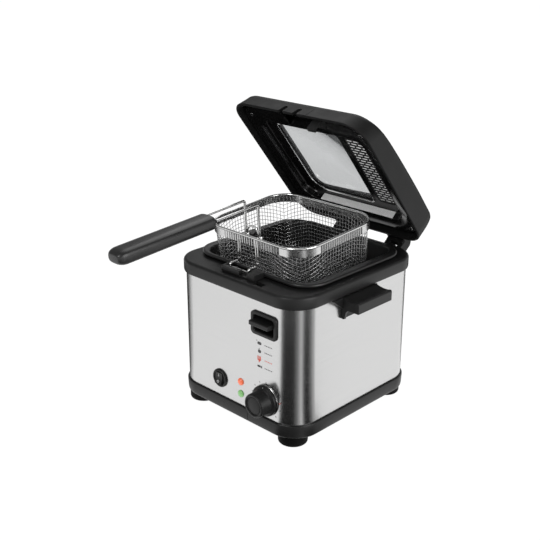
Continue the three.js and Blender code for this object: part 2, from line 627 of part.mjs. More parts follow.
function addLid(group) {
  const add = (name, geometry, look) => piece(group, name, geometry.translate(0, -HINGE.y, -HINGE.z), look);
  const { ceiling, t, dishX, dishY1, z } = PANEL;
  add("lid_shell", lidShell(), BLACK());
  add("lid_inner_panel", lidPanel(), GLOSS());
  add("lid_inner_plate", lidPlate(), GLOSS());
  const { x0, x1, y0, y1 } = WINDOW;
  const paneZ = ceiling + t + GAP;
  add("window_pane", between(x0 - 4, x1 + 3.5, y0 - 4, y1 + 4, 12, paneZ, paneZ + 3), material(0xd8dcdc, 0.1));
  const frame = cut(
    between(x0 - 3, x1 + 3, y0 - 3, y1 + 3, WINDOW.r.map((r) => r + 3), ceiling - 1.6, ceiling - GAP),
    between(x0, x1, y0, y1, WINDOW.r, ceiling - 3, ceiling + 1),
  );
  add("window_frame", frame, WIRE());
  add("vent_grille", ventGrille(), BLACK());
  const pad = box(VENT.x0 + 1, VENT.x1 - 1, VENT.y0 + 1, VENT.y1 - 1, paneZ + 0.2, paneZ + 2.8);
  add("filter_pad", pad, material(0xb8b8b4, 0.9));
  add("steam_baffle", box(-dishX + 24, dishX - 19, dishY1 - 1.6, dishY1 - GAP, z + 0.4, ceiling - 0.5), WIRE());
  const stem = box(CATCH.x - 5.5, CATCH.x + 5.5, CATCH.y, CATCH.y + 2.5, CATCH.z, LID.z0 + 1.7);
  const barb = box(CATCH.x - 5.5, CATCH.x + 5.5, CATCH.y + 2, CATCH.y + 4.5, CATCH.z, CATCH.z + 2.5);
  const foot = box(CATCH.x - 5.5, CATCH.x + 5.5, CATCH.y + 2, CATCH.y + 12, LID.z0 + 0.4, z - GAP);
  add("lid_hook", join(stem, barb, foot), BLACK());
  for (const [name, x, y] of SCREWS) {
    const screw = turned([[0, z], [3, z], [3, z + 1.6], [1.5, z + 1.6], [1.5, z + 6.5], [0, z + 6.5]], 12);
    add("lid_screw_" + name, screw.translate(x, y, 0), STEEL());
  }
}

function addHinges(group) {
  const length = 2 * HINGE.half + 2;
  for (const name of ["left", "right"]) {
    const middle = HINGE[name];
    const pin = alongX(disc(HINGE.pin, 0, length, 12), middle - length / 2, HINGE.y, HINGE.z);
    piece(group, "hinge_pin_" + name, pin, STEEL());
    const coil = ring(HINGE.pin + GAP, 6, 0, HINGE.half - ARM - EAR.far - 2 * GAP, 14);
    piece(group, "hinge_spring_" + name, alongX(coil, middle + EAR.far + GAP, HINGE.y, HINGE.z), WIRE());
  }
}

// ---------------------------------------------------------------- assembly
const model = new THREE.Group();
const body = new THREE.Group();
const controls = new THREE.Group();
const basket = new THREE.Group();
const lid = new THREE.Group();
model.add(body, controls, basket, lid);

addFeet(body);
addBase(body);
addHousing(body);
addCollar(body);
addTank(body);
addHeater(body);
addElectrics(body);
addCarryHandles(body);
addHinges(body);
addSwitch(body, controls);
addLamps(body);
addKnob(body, controls);
addLatch(body, controls);
addBasket(basket);
addHandle(basket);
basket.position.set(0, BASKET.y, BASKET.z);
basket.rotation.x = BASKET_TILT;
addLid(lid);
lid.position.set(0, HINGE.y, HINGE.z);
lid.rotation.x = -LID_OPEN;

// The origin goes under the middle of the whole object's box.
model.updateMatrixWorld(true);
const extent = new THREE.Box3().setFromObject(model, true);
model.position.y = -(extent.min.y + extent.max.y) / 2;

export default model;
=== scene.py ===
"""Compact deep fryer: steel housing, lid standing open on its hinge, wire basket hung to drain over the tank.

Shapes are written in millimetres in the fryer's own frame (X right, Y back, Z up, origin under the middle of
the housing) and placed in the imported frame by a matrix. Lid pieces are written with the lid shut, and basket
pieces about the middle of the basket's rim.
"""

import json
import math

import bmesh
import bpy
from mathutils import Matrix, Vector


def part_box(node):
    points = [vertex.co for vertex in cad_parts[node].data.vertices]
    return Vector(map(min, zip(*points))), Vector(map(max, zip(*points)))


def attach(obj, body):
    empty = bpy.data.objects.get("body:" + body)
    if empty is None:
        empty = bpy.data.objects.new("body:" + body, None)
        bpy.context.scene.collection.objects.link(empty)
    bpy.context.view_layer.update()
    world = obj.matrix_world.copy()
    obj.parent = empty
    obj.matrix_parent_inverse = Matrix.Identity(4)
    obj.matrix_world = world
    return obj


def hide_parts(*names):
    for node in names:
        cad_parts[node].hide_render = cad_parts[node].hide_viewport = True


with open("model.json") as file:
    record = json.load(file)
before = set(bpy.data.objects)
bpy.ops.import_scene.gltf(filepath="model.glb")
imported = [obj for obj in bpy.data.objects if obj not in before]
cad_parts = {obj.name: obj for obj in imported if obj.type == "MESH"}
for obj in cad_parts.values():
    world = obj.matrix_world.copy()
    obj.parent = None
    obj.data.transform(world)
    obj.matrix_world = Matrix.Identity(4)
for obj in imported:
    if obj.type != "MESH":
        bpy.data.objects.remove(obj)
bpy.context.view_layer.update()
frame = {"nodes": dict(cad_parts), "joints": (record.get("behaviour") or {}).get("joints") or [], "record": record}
JOINTS = {joint["name"]: joint for joint in frame["joints"]}

# ------------------------------------------------------------------ frames
MM = 0.001


def middle_of(node):
    low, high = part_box(node)
    return (low + high) / 2


FRYER = Matrix.Translation((0, middle_of("steel_housing").y, 0)) @ Matrix.Scale(MM, 4)
TO_FRYER = FRYER.inverted()


def span(node):
    """The node's box in the fryer's own frame, as (x0, x1, y0, y1, z0, z1) in millimetres."""
    low, high = (TO_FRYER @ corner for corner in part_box(node))
    return low.x, high.x, low.y, high.y, low.z, high.z


HINGE = TO_FRYER @ Vector(JOINTS["lid_hinge"]["pos_m"])
LID_OPEN = math.radians(JOINTS["lid_hinge"]["range_deg"][0])
LID = FRYER @ Matrix.Translation(HINGE) @ Matrix.Rotation(LID_OPEN, 4, "X") @ Matrix.Translation(-HINGE)

RIM_WIRE = 3.0
BASKET_TILT = Matrix.Rotation(math.radians(4), 4, "X")
RIM_MIDDLE = TO_FRYER @ middle_of("basket_rim_wire") + BASKET_TILT @ Vector((0, 0, RIM_WIRE / 2))
BASKET = FRYER @ Matrix.Translation(RIM_MIDDLE) @ BASKET_TILT

FRONT_Y = span("steel_housing")[2]


def on_front(x, z):
    """A frame on the steel front at (x, z) whose +Z points out of it and whose +Y points up."""
    return FRYER @ Matrix.Translation((x, FRONT_Y, z)) @ Matrix.Rotation(math.pi / 2, 4, "X")


# ------------------------------------------------------------------ shapes
CORNER_STEPS = 14


def rounded_rect(w, d, r, steps=CORNER_STEPS):
    """A rounded rectangle about the origin, counter-clockwise, with the same number of points at any size."""
    points = []
    for sx, sy, start in ((1, 1, 0), (-1, 1, 1), (-1, -1, 2), (1, -1, 3)):
        for i in range(steps + 1):
            turn = (start + i / steps) * math.pi / 2
            points.append((sx * (w / 2 - r) + r * math.cos(turn), sy * (d / 2 - r) + r * math.sin(turn)))
    return points


def skin(loops, closed=False):
    """Faces through loops of equal length. An open stack is capped at both ends."""
    verts = [point for loop in loops for point in loop]
    n, count = len(loops[0]), len(loops)
    faces = []
    for level in range(count if closed else count - 1):
        a, b = level * n, (level + 1) % count * n
        for i in range(n):
            j = (i + 1) % n
            faces.append((a + i, a + j, b + j, b + i))
    if not closed:
        faces.append(tuple(range(n)))
        faces.append(tuple(range((count - 1) * n, count * n)))
    return verts, faces


def section(w, d, r, z, cx=0, cy=0, steps=CORNER_STEPS):
    return [(cx + x, cy + y, z) for x, y in rounded_rect(w, d, r, steps)]


def slab(x0, x1, y0, y1, r, z0, z1, edge=0):
    """A rounded block with an optional rounded edge at the top and bottom."""
    w, d, cx, cy = x1 - x0, y1 - y0, (x0 + x1) / 2, (y0 + y1) / 2
    levels = [(0, z0), (0, z1)]
    if edge:
        turns = (0, math.pi / 6, math.pi / 3, math.pi / 2)
        arc = [(edge * (1 - math.sin(t)), edge * (1 - math.cos(t))) for t in turns]
        levels = [(inset, z0 + rise) for inset, rise in arc]
        levels += [(inset, z1 - rise) for inset, rise in reversed(arc)]
    loops = []
    for inset, z in levels:
        loops.append(section(w - 2 * inset, d - 2 * inset, max(r - inset, 0.3), z, cx, cy))
    return skin(loops)


def turned(profile, closed=False, steps=56):
    """A solid of revolution about Z from (radius, z) pairs."""
    turns = [2 * math.pi * i / steps for i in range(steps)]
    return skin([[(r * math.cos(t), r * math.sin(t), z) for t in turns] for r, z in profile], closed)


def block(x0, x1, y0, y1, z0, z1):
    corners = ((x0, y0), (x1, y0), (x1, y1), (x0, y1))
    return skin([[(x, y, z) for x, y in corners] for z in (z0, z1)])


def across(outline, y0, y1):
    """An outline of (x, z) points carried from y0 to y1."""
    return skin([[(x, y, z) for x, z in outline] for y in (y0, y1)])


def sideways(outline, x0, x1):
    """An outline of (y, z) points carried from x0 to x1."""
    return skin([[(x, y, z) for y, z in outline] for x in (x0, x1)])


def along_x(solid, x, y, z):
    """Turns a solid made along +Z so that it runs along +X from (x, y, z)."""
    verts, faces = solid
    return [(x + c, y + b, z - a) for a, b, c in verts], faces


def together(*solids):
    verts, faces = [], []
    for more, shape in solids:
        faces += [tuple(i + len(verts) for i in face) for face in shape]
        verts += more
    return verts, faces


def bent(points, radius, steps=6):
    """A path through points with its corners rounded."""
    corners = [Vector(p) for p in points]
    path = [corners[0]]
    for before, corner, after in zip(corners, corners[1:], corners[2:]):
        start = corner + (before - corner).normalized() * radius
        end = corner + (after - corner).normalized() * radius
        for i in range(steps + 1):
            t = i / steps
            path.append(start * (1 - t) ** 2 + corner * 2 * t * (1 - t) + end * t**2)
    return path + [corners[-1]]


def helix(radius, turns, pitch, z, steps=20):
    """A coil's path about Z, upwards from z."""
    path = []
    for i in range(turns * steps + 1):
        t = 2 * math.pi * i / steps
        path.append((radius * math.cos(t), radius * math.sin(t), z + pitch * i / steps))
    return path


def tube(path, radius, sides=10, closed=False):
    """A round wire along a path."""
    path = [Vector(p) for p in path]
    count = len(path)
    up = Vector((0.31, 0.17, 0.93))
    loops = []
    for i, point in enumerate(path):
        before = path[i - 1] if i or closed else point
        after = path[(i + 1) % count] if i + 1 < count or closed else point
        ahead = (after - before).normalized()
        side = ahead.cross(up).normalized()
        up = side.cross(ahead)
        turns = (2 * math.pi * k / sides for k in range(sides))
        loops.append([tuple(point + radius * (side * math.cos(t) + up * math.sin(t))) for t in turns])
    return skin(loops, closed)


# ------------------------------------------------------------------ materials
def node_material(name, color, roughness, metallic=0.0, **sockets):
    material = bpy.data.materials.new(name)
    material.use_nodes = True
    shader = material.node_tree.nodes["Principled BSDF"]
    shader.inputs["Base Color"].default_value = (*color, 1)
    shader.inputs["Roughness"].default_value = roughness
    shader.inputs["Metallic"].default_value = metallic
    for socket, value in sockets.items():
        shader.inputs[socket.replace("_", " ")].default_value = value
    return material, material.node_tree, shader


def noise(tree, scale, stretch=(1, 1, 1), detail=3):
    """A noise in object space; scale is in features per metre."""
    place = tree.nodes.new("ShaderNodeTexCoord")
    mapping = tree.nodes.new("ShaderNodeMapping")
    mapping.inputs["Scale"].default_value = stretch
    texture = tree.nodes.new("ShaderNodeTexNoise")
    texture.inputs["Scale"].default_value = scale
    texture.inputs["Detail"].default_value = detail
    tree.links.new(place.outputs["Object"], mapping.inputs["Vector"])
    tree.links.new(mapping.outputs["Vector"], texture.inputs["Vector"])
    return texture.outputs["Fac"]


def vary(tree, shader, fac, socket, low, high):
    """Runs a socket between two values over a noise."""
    spread = tree.nodes.new("ShaderNodeMapRange")
    spread.inputs["From Min"].default_value = 0.3
    spread.inputs["From Max"].default_value = 0.7
    spread.inputs["To Min"].default_value = low
    spread.inputs["To Max"].default_value = high
    tree.links.new(fac, spread.inputs["Value"])
    tree.links.new(spread.outputs["Result"], shader.inputs[socket])


def tint(tree, shader, fac, dark, light):
    ramp = tree.nodes.new("ShaderNodeValToRGB")
    ramp.color_ramp.elements[0].position = 0.3
    ramp.color_ramp.elements[0].color = (*dark, 1)
    ramp.color_ramp.elements[1].position = 0.7
    ramp.color_ramp.elements[1].color = (*light, 1)
    tree.links.new(fac, ramp.inputs["Fac"])
    tree.links.new(ramp.outputs["Color"], shader.inputs["Base Color"])


def bump(tree, shader, fac, strength, height):
    relief = tree.nodes.new("ShaderNodeBump")
    relief.inputs["Strength"].default_value = strength
    relief.inputs["Distance"].default_value = height * MM
    tree.links.new(fac, relief.inputs["Height"])
    tree.links.new(relief.outputs["Normal"], shader.inputs["Normal"])


def moulded(name, grey, roughness, grain=1400, relief=0.03, strength=0.35, **sockets):
    """Moulded plastic: a fine eroded texture, and a faint drift in gloss and shade."""
    material, tree, shader = node_material(name, (grey, grey, grey), roughness, **sockets)
    slow = noise(tree, 45)
    tint(tree, shader, slow, [grey * 0.9] * 3, [grey * 1.1] * 3)
    vary(tree, shader, slow, "Roughness", roughness - 0.04, roughness + 0.04)
    bump(tree, shader, noise(tree, grain), strength, relief)
    return material


def brushed_steel():
    grey = 0.62
    material, tree, shader = node_material("brushed_steel", (grey, grey, grey), 0.24, 1.0, Anisotropic=0.35)
    grain = noise(tree, 900, (0.03, 0.03, 4), 4)
    tint(tree, shader, noise(tree, 160, (0.1, 0.1, 9)), (0.61, 0.61, 0.61), (0.63, 0.63, 0.628))
    vary(tree, shader, grain, "Roughness", 0.18, 0.27)
    bump(tree, shader, grain, 0.05, 0.02)
    return material


def bright_wire():
    material, tree, shader = node_material("bright_wire", (0.8, 0.8, 0.8), 0.14, 1.0)
    slow = noise(tree, 240)
    tint(tree, shader, slow, (0.72, 0.72, 0.72), (0.86, 0.86, 0.85))
    vary(tree, shader, slow, "Roughness", 0.1, 0.2)
    return material


def window_glass():
    material, tree, shader = node_material(
        "window_glass", (0.63, 0.64, 0.645), 0.2, Transmission_Weight=0.9, IOR=1.2
    )
    vary(tree, shader, noise(tree, 12), "Roughness", 0.03, 0.06)
    return material


def lens(name, color):
    material, tree, shader = node_material(name, color, 0.18, Emission_Strength=0.25, Coat_Weight=0.6)
    shader.inputs["Emission Color"].default_value = (*color, 1)
    bump(tree, shader, noise(tree, 700), 0.2, 0.05)
    return material


def grained(name, color, roughness, metallic=0.0, scale=600, relief=0.05):
    """Plain stock with a fine grain: resin, copper, sheath, felt, ink, and the wire of the mesh."""
    material, tree, shader = node_material(name, color, roughness, metallic)
    fac = noise(tree, scale)
    tint(tree, shader, fac, [c * 0.82 for c in color], [min(1, c * 1.12) for c in color])
    bump(tree, shader, fac, 0.3, relief)
    return material


LOOKS = {
    "black_plastic": moulded("black_plastic", 0.011, 0.42, Specular_IOR_Level=0.34),
    "gloss_black": moulded("gloss_black", 0.004, 0.16, 300, 0.004, 0.1, Specular_IOR_Level=0.42),
    "steel": brushed_steel(),
    "bright_wire": bright_wire(),
    "rubber": moulded("rubber", 0.003, 0.7, 900, 0.04, Specular_IOR_Level=0.1),
    "tank_coating": moulded("tank_coating", 0.012, 0.33, 2200, 0.02),
    "window": window_glass(),
    "red_lens": lens("red_lens", (0.88, 0.17, 0.07)),
    "green_lens": lens("green_lens", (0.22, 0.50, 0.17)),
    "heat_resin": grained("heat_resin", (0.55, 0.5, 0.38), 0.55),
    "copper": grained("copper", (0.72, 0.38, 0.24), 0.35, 1.0),
    "heater_sheath": grained("heater_sheath", (0.15, 0.16, 0.155), 0.5, 0.8),
    "filter_felt": grained("filter_felt", (0.62, 0.62, 0.60), 0.9, scale=1500, relief=0.3),
}
LID_PLASTIC = moulded("lid_plastic", 0.008, 0.5, Specular_IOR_Level=0.2)
GRIP_PLASTIC = moulded("grip_plastic", 0.016, 0.3, 1800, 0.015)
KNOB_PLASTIC = moulded("knob_plastic", 0.009, 0.4, Specular_IOR_Level=0.3)
MESH_STEEL = grained("mesh_steel", (0.62, 0.62, 0.62), 0.25, 1.0, 900, 0.01)
# Painted light: a near-white sheet whose colour stands in for the bright surroundings reflected in the steam
# baffle and seen through the vent slots.
PAINTED_REFLECTION_SHEET = grained("painted_reflection_sheet", (0.97, 0.97, 0.96), 0.4, 0.0, 900, 0.02)
DARK_PRINT = grained("dark_print", (0.05, 0.05, 0.05), 0.5)
RED_PRINT = grained("red_print", (0.75, 0.10, 0.06), 0.5)
WHITE_PRINT = grained("white_print", (0.62, 0.62, 0.62), 0.5)


# ------------------------------------------------------------------ pieces
def shade(mesh, crease=32):
    """Smooth shading that stays sharp across edges steeper than crease degrees."""
    shell = bmesh.new()
    shell.from_mesh(mesh)
    bmesh.ops.recalc_face_normals(shell, faces=shell.faces)
    for face in shell.faces:
        face.smooth = True
    for edge in shell.edges:
        edge.smooth = edge.is_manifold and edge.calc_face_angle() < math.radians(crease)
    shell.to_mesh(mesh)
    shell.free()


def make_object(name, solid, place, crease=32):
    verts, faces = solid
    mesh = bpy.data.meshes.new(name)
    mesh.from_pydata([place @ Vector(v) for v in verts], [], faces)
    shade(mesh, crease)
    thing = bpy.data.objects.new(name, mesh)
    bpy.context.scene.collection.objects.link(thing)
    return thing


def piece(name, solid, body, slot, place=FRYER, look=None, instead_of=(), holes=(), edge=0, crease=32):
    """A finished piece: built, cut, given its edge radius and material, and set on its body."""
    thing = make_object(name, solid, place, crease)
    for hole in holes:
        carve(thing, hole, place)
    thing.data.materials.append(look or LOOKS[slot])
    if edge:
        soften(thing, edge)
    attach(thing, body)
    if instead_of:
        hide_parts(*instead_of)
    return thing


def carve(thing, solid, place):
    cutter = make_object("cutter", solid, place)
    modifier = thing.modifiers.new("holes", "BOOLEAN")
    modifier.operation = "DIFFERENCE"
    modifier.object = cutter
    modifier.solver = "EXACT"
    evaluated = thing.evaluated_get(bpy.context.evaluated_depsgraph_get())
    mesh = bpy.data.meshes.new_from_object(evaluated)
    thing.modifiers.clear()
    thing.data = mesh
    shade(mesh)
    bpy.data.objects.remove(cutter)


def soften(thing, radius):
    bevel = thing.modifiers.new("edges", "BEVEL")
    bevel.width = radius * MM
    bevel.segments = 3
    bevel.limit_method = "ANGLE"
    bevel.angle_limit = math.radians(35)
    bevel.harden_normals = True


# ------------------------------------------------------------------ housing
HOUSING_R = 31.8  # corner radius of the steel sheet
BASE_R = 34
BASE_SEAM = (23.7, 24.3)
COLLAR = dict(d=213, r=34.6, hole=166, hole_r=25)
CATCH_SLOT = dict(x=35, y=-96.7, half_w=7, half_d=3.9)
TANK = dict(inner=160, inner_r=22, flange_r=29)
CARRY = dict(y0=-33, y1=25, lip=152.5)
LATCH_RECESS = (15.1, 9.7)  # half width and half height of the hole behind the release lever


def build_feet():
    for end in ("front_left", "front_right", "back_left", "back_right"):
        x0, x1, y0, y1, z0, z1 = span("foot_" + end)
        r, place = (x1 - x0) / 2, FRYER @ Matrix.Translation(((x0 + x1) / 2, (y0 + y1) / 2, 0))
        profile = [(r - 2.5, z0), (r - 1.2, z0 + 0.5), (r - 0.4, z0 + 1.3), (r, 2.6), (r, z1)]
        piece("rubber_foot_" + end, turned(profile), "fryer", "rubber", place, instead_of=["foot_" + end])


def build_base():
    x0, x1, y0, y1, z0, z1 = span("base_tray")
    w, d = x1 - x0, y1 - y0
    levels = [(3, z0), (1.7, z0 + 0.7), (0.9, z0 + 2), (0.5, z0 + 4)]
    levels += [(0, z1 - 0.8), (0.4, z1), (6, z1), (6, z1 - 6)]
    solid = skin([section(w - 2 * inset, d - 2 * inset, BASE_R - inset, z) for inset, z in levels])
    holes = [slab(x - 2, x + 2, -20, 20, 1.9, z0 - 1, z0 + 4) for x in range(-36, 37, 12)]
    holes.append(block(*BASE_SEAM, y0 - 1, y0 + 1.1, z0 - 1, z1 + 1))
    piece("base_moulding", solid, "fryer", "black_plastic", holes=holes, instead_of=["base_tray"])


def build_housing():
    x0, x1, y0, y1, z0, z1 = span("steel_housing")
    w, d = x1 - x0, y1 - y0
    levels = [(0, z0), (0, z1), (1, z1), (1, z0)]
    loops = [section(w - 2 * inset, d - 2 * inset, HOUSING_R - inset, z, steps=28) for inset, z in levels]
    lx0, lx1, _, _, lz0, lz1 = span("latch_bezel")
    x, z = (lx0 + lx1) / 2, (lz0 + lz1) / 2
    half_w, half_h = LATCH_RECESS
    hole = block(x - half_w, x + half_w, y0 - 3, y0 + 3, z - half_h, z + half_h)
    piece("housing_sheet", skin(loops, True), "fryer", "steel", holes=[hole], instead_of=["steel_housing"])


def collar_bottom():
    return span("steel_housing")[5] + 0.3


def build_collar():
    x0, x1, _, _, _, z1 = span("top_collar")
    z0 = collar_bottom()
    w, d, r, hole, hole_r = x1 - x0, COLLAR["d"], COLLAR["r"], COLLAR["hole"], COLLAR["hole_r"]
    outside = [(0.5, z0), (0.1, z0 + 1.2), (0, z0 + 2.5)]
    outside += [(0, z1 - 3.2), (0.35, z1 - 1.9), (1.2, z1 - 0.8), (2.6, z1 - 0.15), (4, z1)]
    loops = [section(w - 2 * inset, d - 2 * inset, r - inset, z, steps=24) for inset, z in outside]
    loops += [section(hole, hole, hole_r, z, 0, middle_tank_y(), 24) for z in (z1, z0)]
    x, y, half_w, half_d = CATCH_SLOT["x"], CATCH_SLOT["y"], CATCH_SLOT["half_w"], CATCH_SLOT["half_d"]
    slot = block(x - half_w, x + half_w, y - half_d, y + half_d, z0 - 1, z1 + 1)
    solid = skin(loops, True)
    piece("collar_moulding", solid, "fryer", "black_plastic", holes=[slot], instead_of=["top_collar"])


def build_hinge_ears():
    """An upright plate behind the collar beside each hinge pin, rounded over the pin."""
    z0, front = collar_bottom() + 0.4, COLLAR["d"] / 2 - 3
    ears = []
    for name in ("left", "right"):
        x = sum(span("hinge_pin_" + name)[:2]) / 2
        outline = [(front, z0), (front, HINGE.z + 6.9)]
        turns = [math.radians(90 - 18 * i) for i in range(13)]
        outline += [(HINGE.y + 7 * math.cos(t), HINGE.z + 7 * math.sin(t)) for t in turns]
        outline += [(HINGE.y - 5, z0)]
        ears.append(sideways(outline, x - 5.6, x + 0.6))
    piece("hinge_ears", together(*ears), "fryer", "black_plastic", edge=0.5)


def middle_tank_y():
    _, _, y0, y1, _, _ = span("oil_tank")
    return (y0 + y1) / 2


def build_tank():
    x0, x1, y0, y1, z0, z1 = span("oil_tank")
    w, d, r = x1 - x0, y1 - y0, TANK["flange_r"]
    low = span("top_collar")[5] + 1.8  # underside of the flange
    inner, inner_r = TANK["inner"], TANK["inner_r"]
    outer = inner + 3
    levels = [
        (inner - 8, inner - 8, inner_r, z0),
        (inner - 2, inner - 2, inner_r, z0 + 2),
        (outer, outer, inner_r + 1.5, z0 + 8),
        (outer, outer, inner_r + 1.5, low),
        (w - 1.6, d - 1.6, r - 0.8, low),
        (w - 0.4, d - 0.4, r - 0.2, low + 0.6),
        (w, d, r, low + 1.4),
        (w, d, r, z1 - 1.8),
        (w - 0.7, d - 0.7, r - 0.3, z1 - 0.8),
        (w - 2.2, d - 2.2, r - 1, z1 - 0.2),
        (w - 4.4, d - 4.4, r - 2, z1),
        (inner + 7, inner + 4.6, inner_r + 2.8, z1),
        (inner + 3, inner + 2.2, inner_r + 1.2, z1 - 0.4),
        (inner + 1, inner + 0.8, inner_r + 0.4, z1 - 1.5),
        (inner, inner, inner_r, z1 - 3.5),
        (inner, inner, inner_r, z0 + 10),
        (inner - 3, inner - 3, inner_r, z0 + 4),
        (inner - 10, inner - 10, inner_r - 1, z0 + 1.5),
    ]
    loops = [section(a, b, corner, z, 0, middle_tank_y(), 20) for a, b, corner, z in levels]
    piece("tank_shell", skin(loops), "fryer", "tank_coating", instead_of=["oil_tank"], crease=50)


def build_drain_hook():
    x0, x1, y0, y1, z0, z1 = span("drain_hook")
    r = 1.3
    left, right, front, low, high = x0 + r, x1 - r, y0 + r, z0 + r, z1 - r
    path = [(left, y1, high), (left, front, high), (left, front, low)]
    path += [(right, front, low), (right, front, high), (right, y1, high)]
    piece("drain_hook_wire", tube(bent(path, 2), r, 14), "fryer", "bright_wire", instead_of=["drain_hook"])


def build_carry_handles():
    for side, name in ((-1, "left"), (1, "right")):
        x0, x1, _, _, z0, z1 = span("carry_handle_" + name)
        near, out = (x0, x1) if side > 0 else (-x1, -x0)
        y0, y1, lip, top = CARRY["y0"], CARRY["y1"], CARRY["lip"], z1 - 1
        outline = [(near, z0), (near + 4, z0), (near + 6, lip - 3), (near + 9, lip), (out, lip)]
        outline += [(out, top - 1.5), (out - 1.2, top), (out - 3, top - 0.2)]
        for t in [i / 8 for i in range(9)]:
            outline.append((out - 5 - 16 * t, top - 0.8 + 1.8 * t * t - 2 * t * (1 - t)))
        outline.append((near, top + 1))
        grip = across([(side * x, z) for x, z in outline], y0, y1)
        pocket_x = sorted((side * (near + 2.2), side * (out - 3.2)))
        pocket = block(*pocket_x, y0 + 4, y1 - 4, z0 - 1, top - 4)
        plate_x = sorted((side * near, side * (near + 2.2)))
        shoulder = sideways([(y0 - 16, top + 1), (y0, lip + 1), (y1, lip + 1), (y1 + 2, top + 1)], *plate_x)
        piece(
            "side_grip_" + name, grip, "fryer", "black_plastic",
            instead_of=["carry_handle_" + name], holes=[pocket], edge=0.7, crease=25,
        )
        piece("side_plate_" + name, shoulder, "fryer", "black_plastic", edge=0.5)


# ------------------------------------------------------------------ controls
ROCKER_REST = -8  # degrees that the rocker leans at rest
INK = (0.02, 0.12)  # heights of the printed marks above the steel
PRINT_X = 42
DIAL = dict(ticks=11, first=225, step=27, red=8, near=20.4, far=22.4)
# The knob's outline as (radius, height), from above its skirt to the middle of its face.
KNOB_FACE = (
    (15.4, 5.9),
    (14.7, 6.3),
    (14.4, 7.2),
    (14, 18.5),
    (13.8, 19.4),
    (13.2, 20),
    (12.4, 20.2),
    (11.5, 20.1),
    (11, 19.7),
    (10.7, 18.8),
    (10, 18.6),
    (9.6, 19),
    (9, 19.2),
)


def build_latch():
    x0, x1, y0, _, z0, z1 = span("latch_bezel")
    place = on_front((x0 + x1) / 2, (z0 + z1) / 2)
    w, h, proud = x1 - x0, z1 - z0, FRONT_Y - y0
    half_w, half_h = LATCH_RECESS
    inner_w, inner_h = 2 * half_w - 0.6, 2 * half_h - 0.6
    levels = [
        (2 * half_w - 0.1, 2 * half_h - 0.1, 2.2, -13.5),
        (2 * half_w - 0.1, 2 * half_h - 0.1, 2.2, 0.3),
        (w, h, 5, 0.3),
        (w, h, 5, proud - 0.9),
        (w - 0.5, h - 0.5, 4.75, proud - 0.25),
        (w - 1.6, h - 1.6, 4.2, proud),
        (inner_w + 2, inner_h + 2, 3, proud),
        (inner_w, inner_h, 2, proud - 1),
        (inner_w, inner_h, 2, -12),
    ]
    loops = [section(a, b, r, z) for a, b, r, z in levels]
    piece("latch_surround", skin(loops), "fryer", "black_plastic", place, instead_of=["latch_bezel"])

    pivot = TO_FRYER @ Vector(JOINTS["release_lever_press"]["pos_m"])
    x0, x1, y0, _, _, _ = span("release_lever")
    depth, thick = pivot.y - y0, 3
    shape = [(-depth, -thick + 1), (-depth + 0.6, -thick + 0.2), (-3, -thick), (2, -2), (2, 2), (-3, thick)]
    shape += [(-8, thick - 0.9), (-depth + 2.5, thick - 0.3), (-depth + 0.5, thick - 0.4)]
    shape += [(-depth, thick - 1.2)]
    outline = [(pivot.y + y, pivot.z + z) for y, z in shape]
    piece(
        "lever_paddle", sideways(outline, x0, x1), "lever", "black_plastic",
        instead_of=["release_lever"], edge=0.6, crease=25,
    )


def build_switch():
    x0, x1, _, _, z0, z1 = span("switch_bezel")
    place, r = on_front((x0 + x1) / 2, (z0 + z1) / 2), (x1 - x0) / 2
    profile = [(r, 0.3), (r, 1.2), (r - 0.3, 1.8), (r - 1, 2.3)]
    profile += [(r - 1.9, 2.3), (r - 2.4, 1.9), (r - 2.5, 1.2), (r - 2.5, 1.1)]
    pocket = block(-5.9, 5.9, -8.3, 8.3, -9, 3)
    piece(
        "switch_ring", turned(profile), "fryer", "black_plastic", place,
        holes=[pocket], instead_of=["switch_bezel"],
    )

    pivot = TO_FRYER @ Vector(JOINTS["power_rocker_tilt"]["pos_m"])
    place = FRYER @ (Matrix.Translation(pivot) @ Matrix.Rotation(math.radians(ROCKER_REST), 4, "X"))
    outline = [(-5.2, 7.2), (-4.9, 5.5), (-4.1, 2.5), (-3.8, 0), (-4.1, -2.5), (-4.9, -5.5), (-5.2, -7.2)]
    outline += [(1, -6.6), (2.4, 0), (1, 6.6)]
    piece(
        "rocker_cap", sideways(outline, -5.4, 5.4), "rocker", "black_plastic", place,
        instead_of=["power_rocker"], edge=0.4,
    )
    upright = place @ Matrix.Rotation(math.pi / 2, 4, "X")
    bar = block(-0.35, 0.35, 2.4, 5.4, 4.0, 4.95)
    verts, faces = turned([(1.6, 4.2), (1.6, 4.95), (1.05, 4.95), (1.05, 4.2)], True, 24)
    loop = [(x, y - 3.9, z) for x, y, z in verts], faces
    piece("rocker_marks", together(bar, loop), "rocker", "black_plastic", upright, WHITE_PRINT)


def build_lamps():
    for name, slot in (("red_lamp_lens", "red_lens"), ("green_lamp_lens", "green_lens")):
        x0, x1, _, _, z0, z1 = span(name)
        r, place = (x1 - x0) / 2, on_front((x0 + x1) / 2, (z0 + z1) / 2)
        turns = [math.radians(a) for a in range(0, 86, 12)]
        dome = [(r, 0.1)] + [(r * math.cos(t), 0.3 + 2.2 * math.sin(t)) for t in turns]
        piece(name.replace("lens", "dome"), turned(dome), "fryer", slot, place, instead_of=[name])


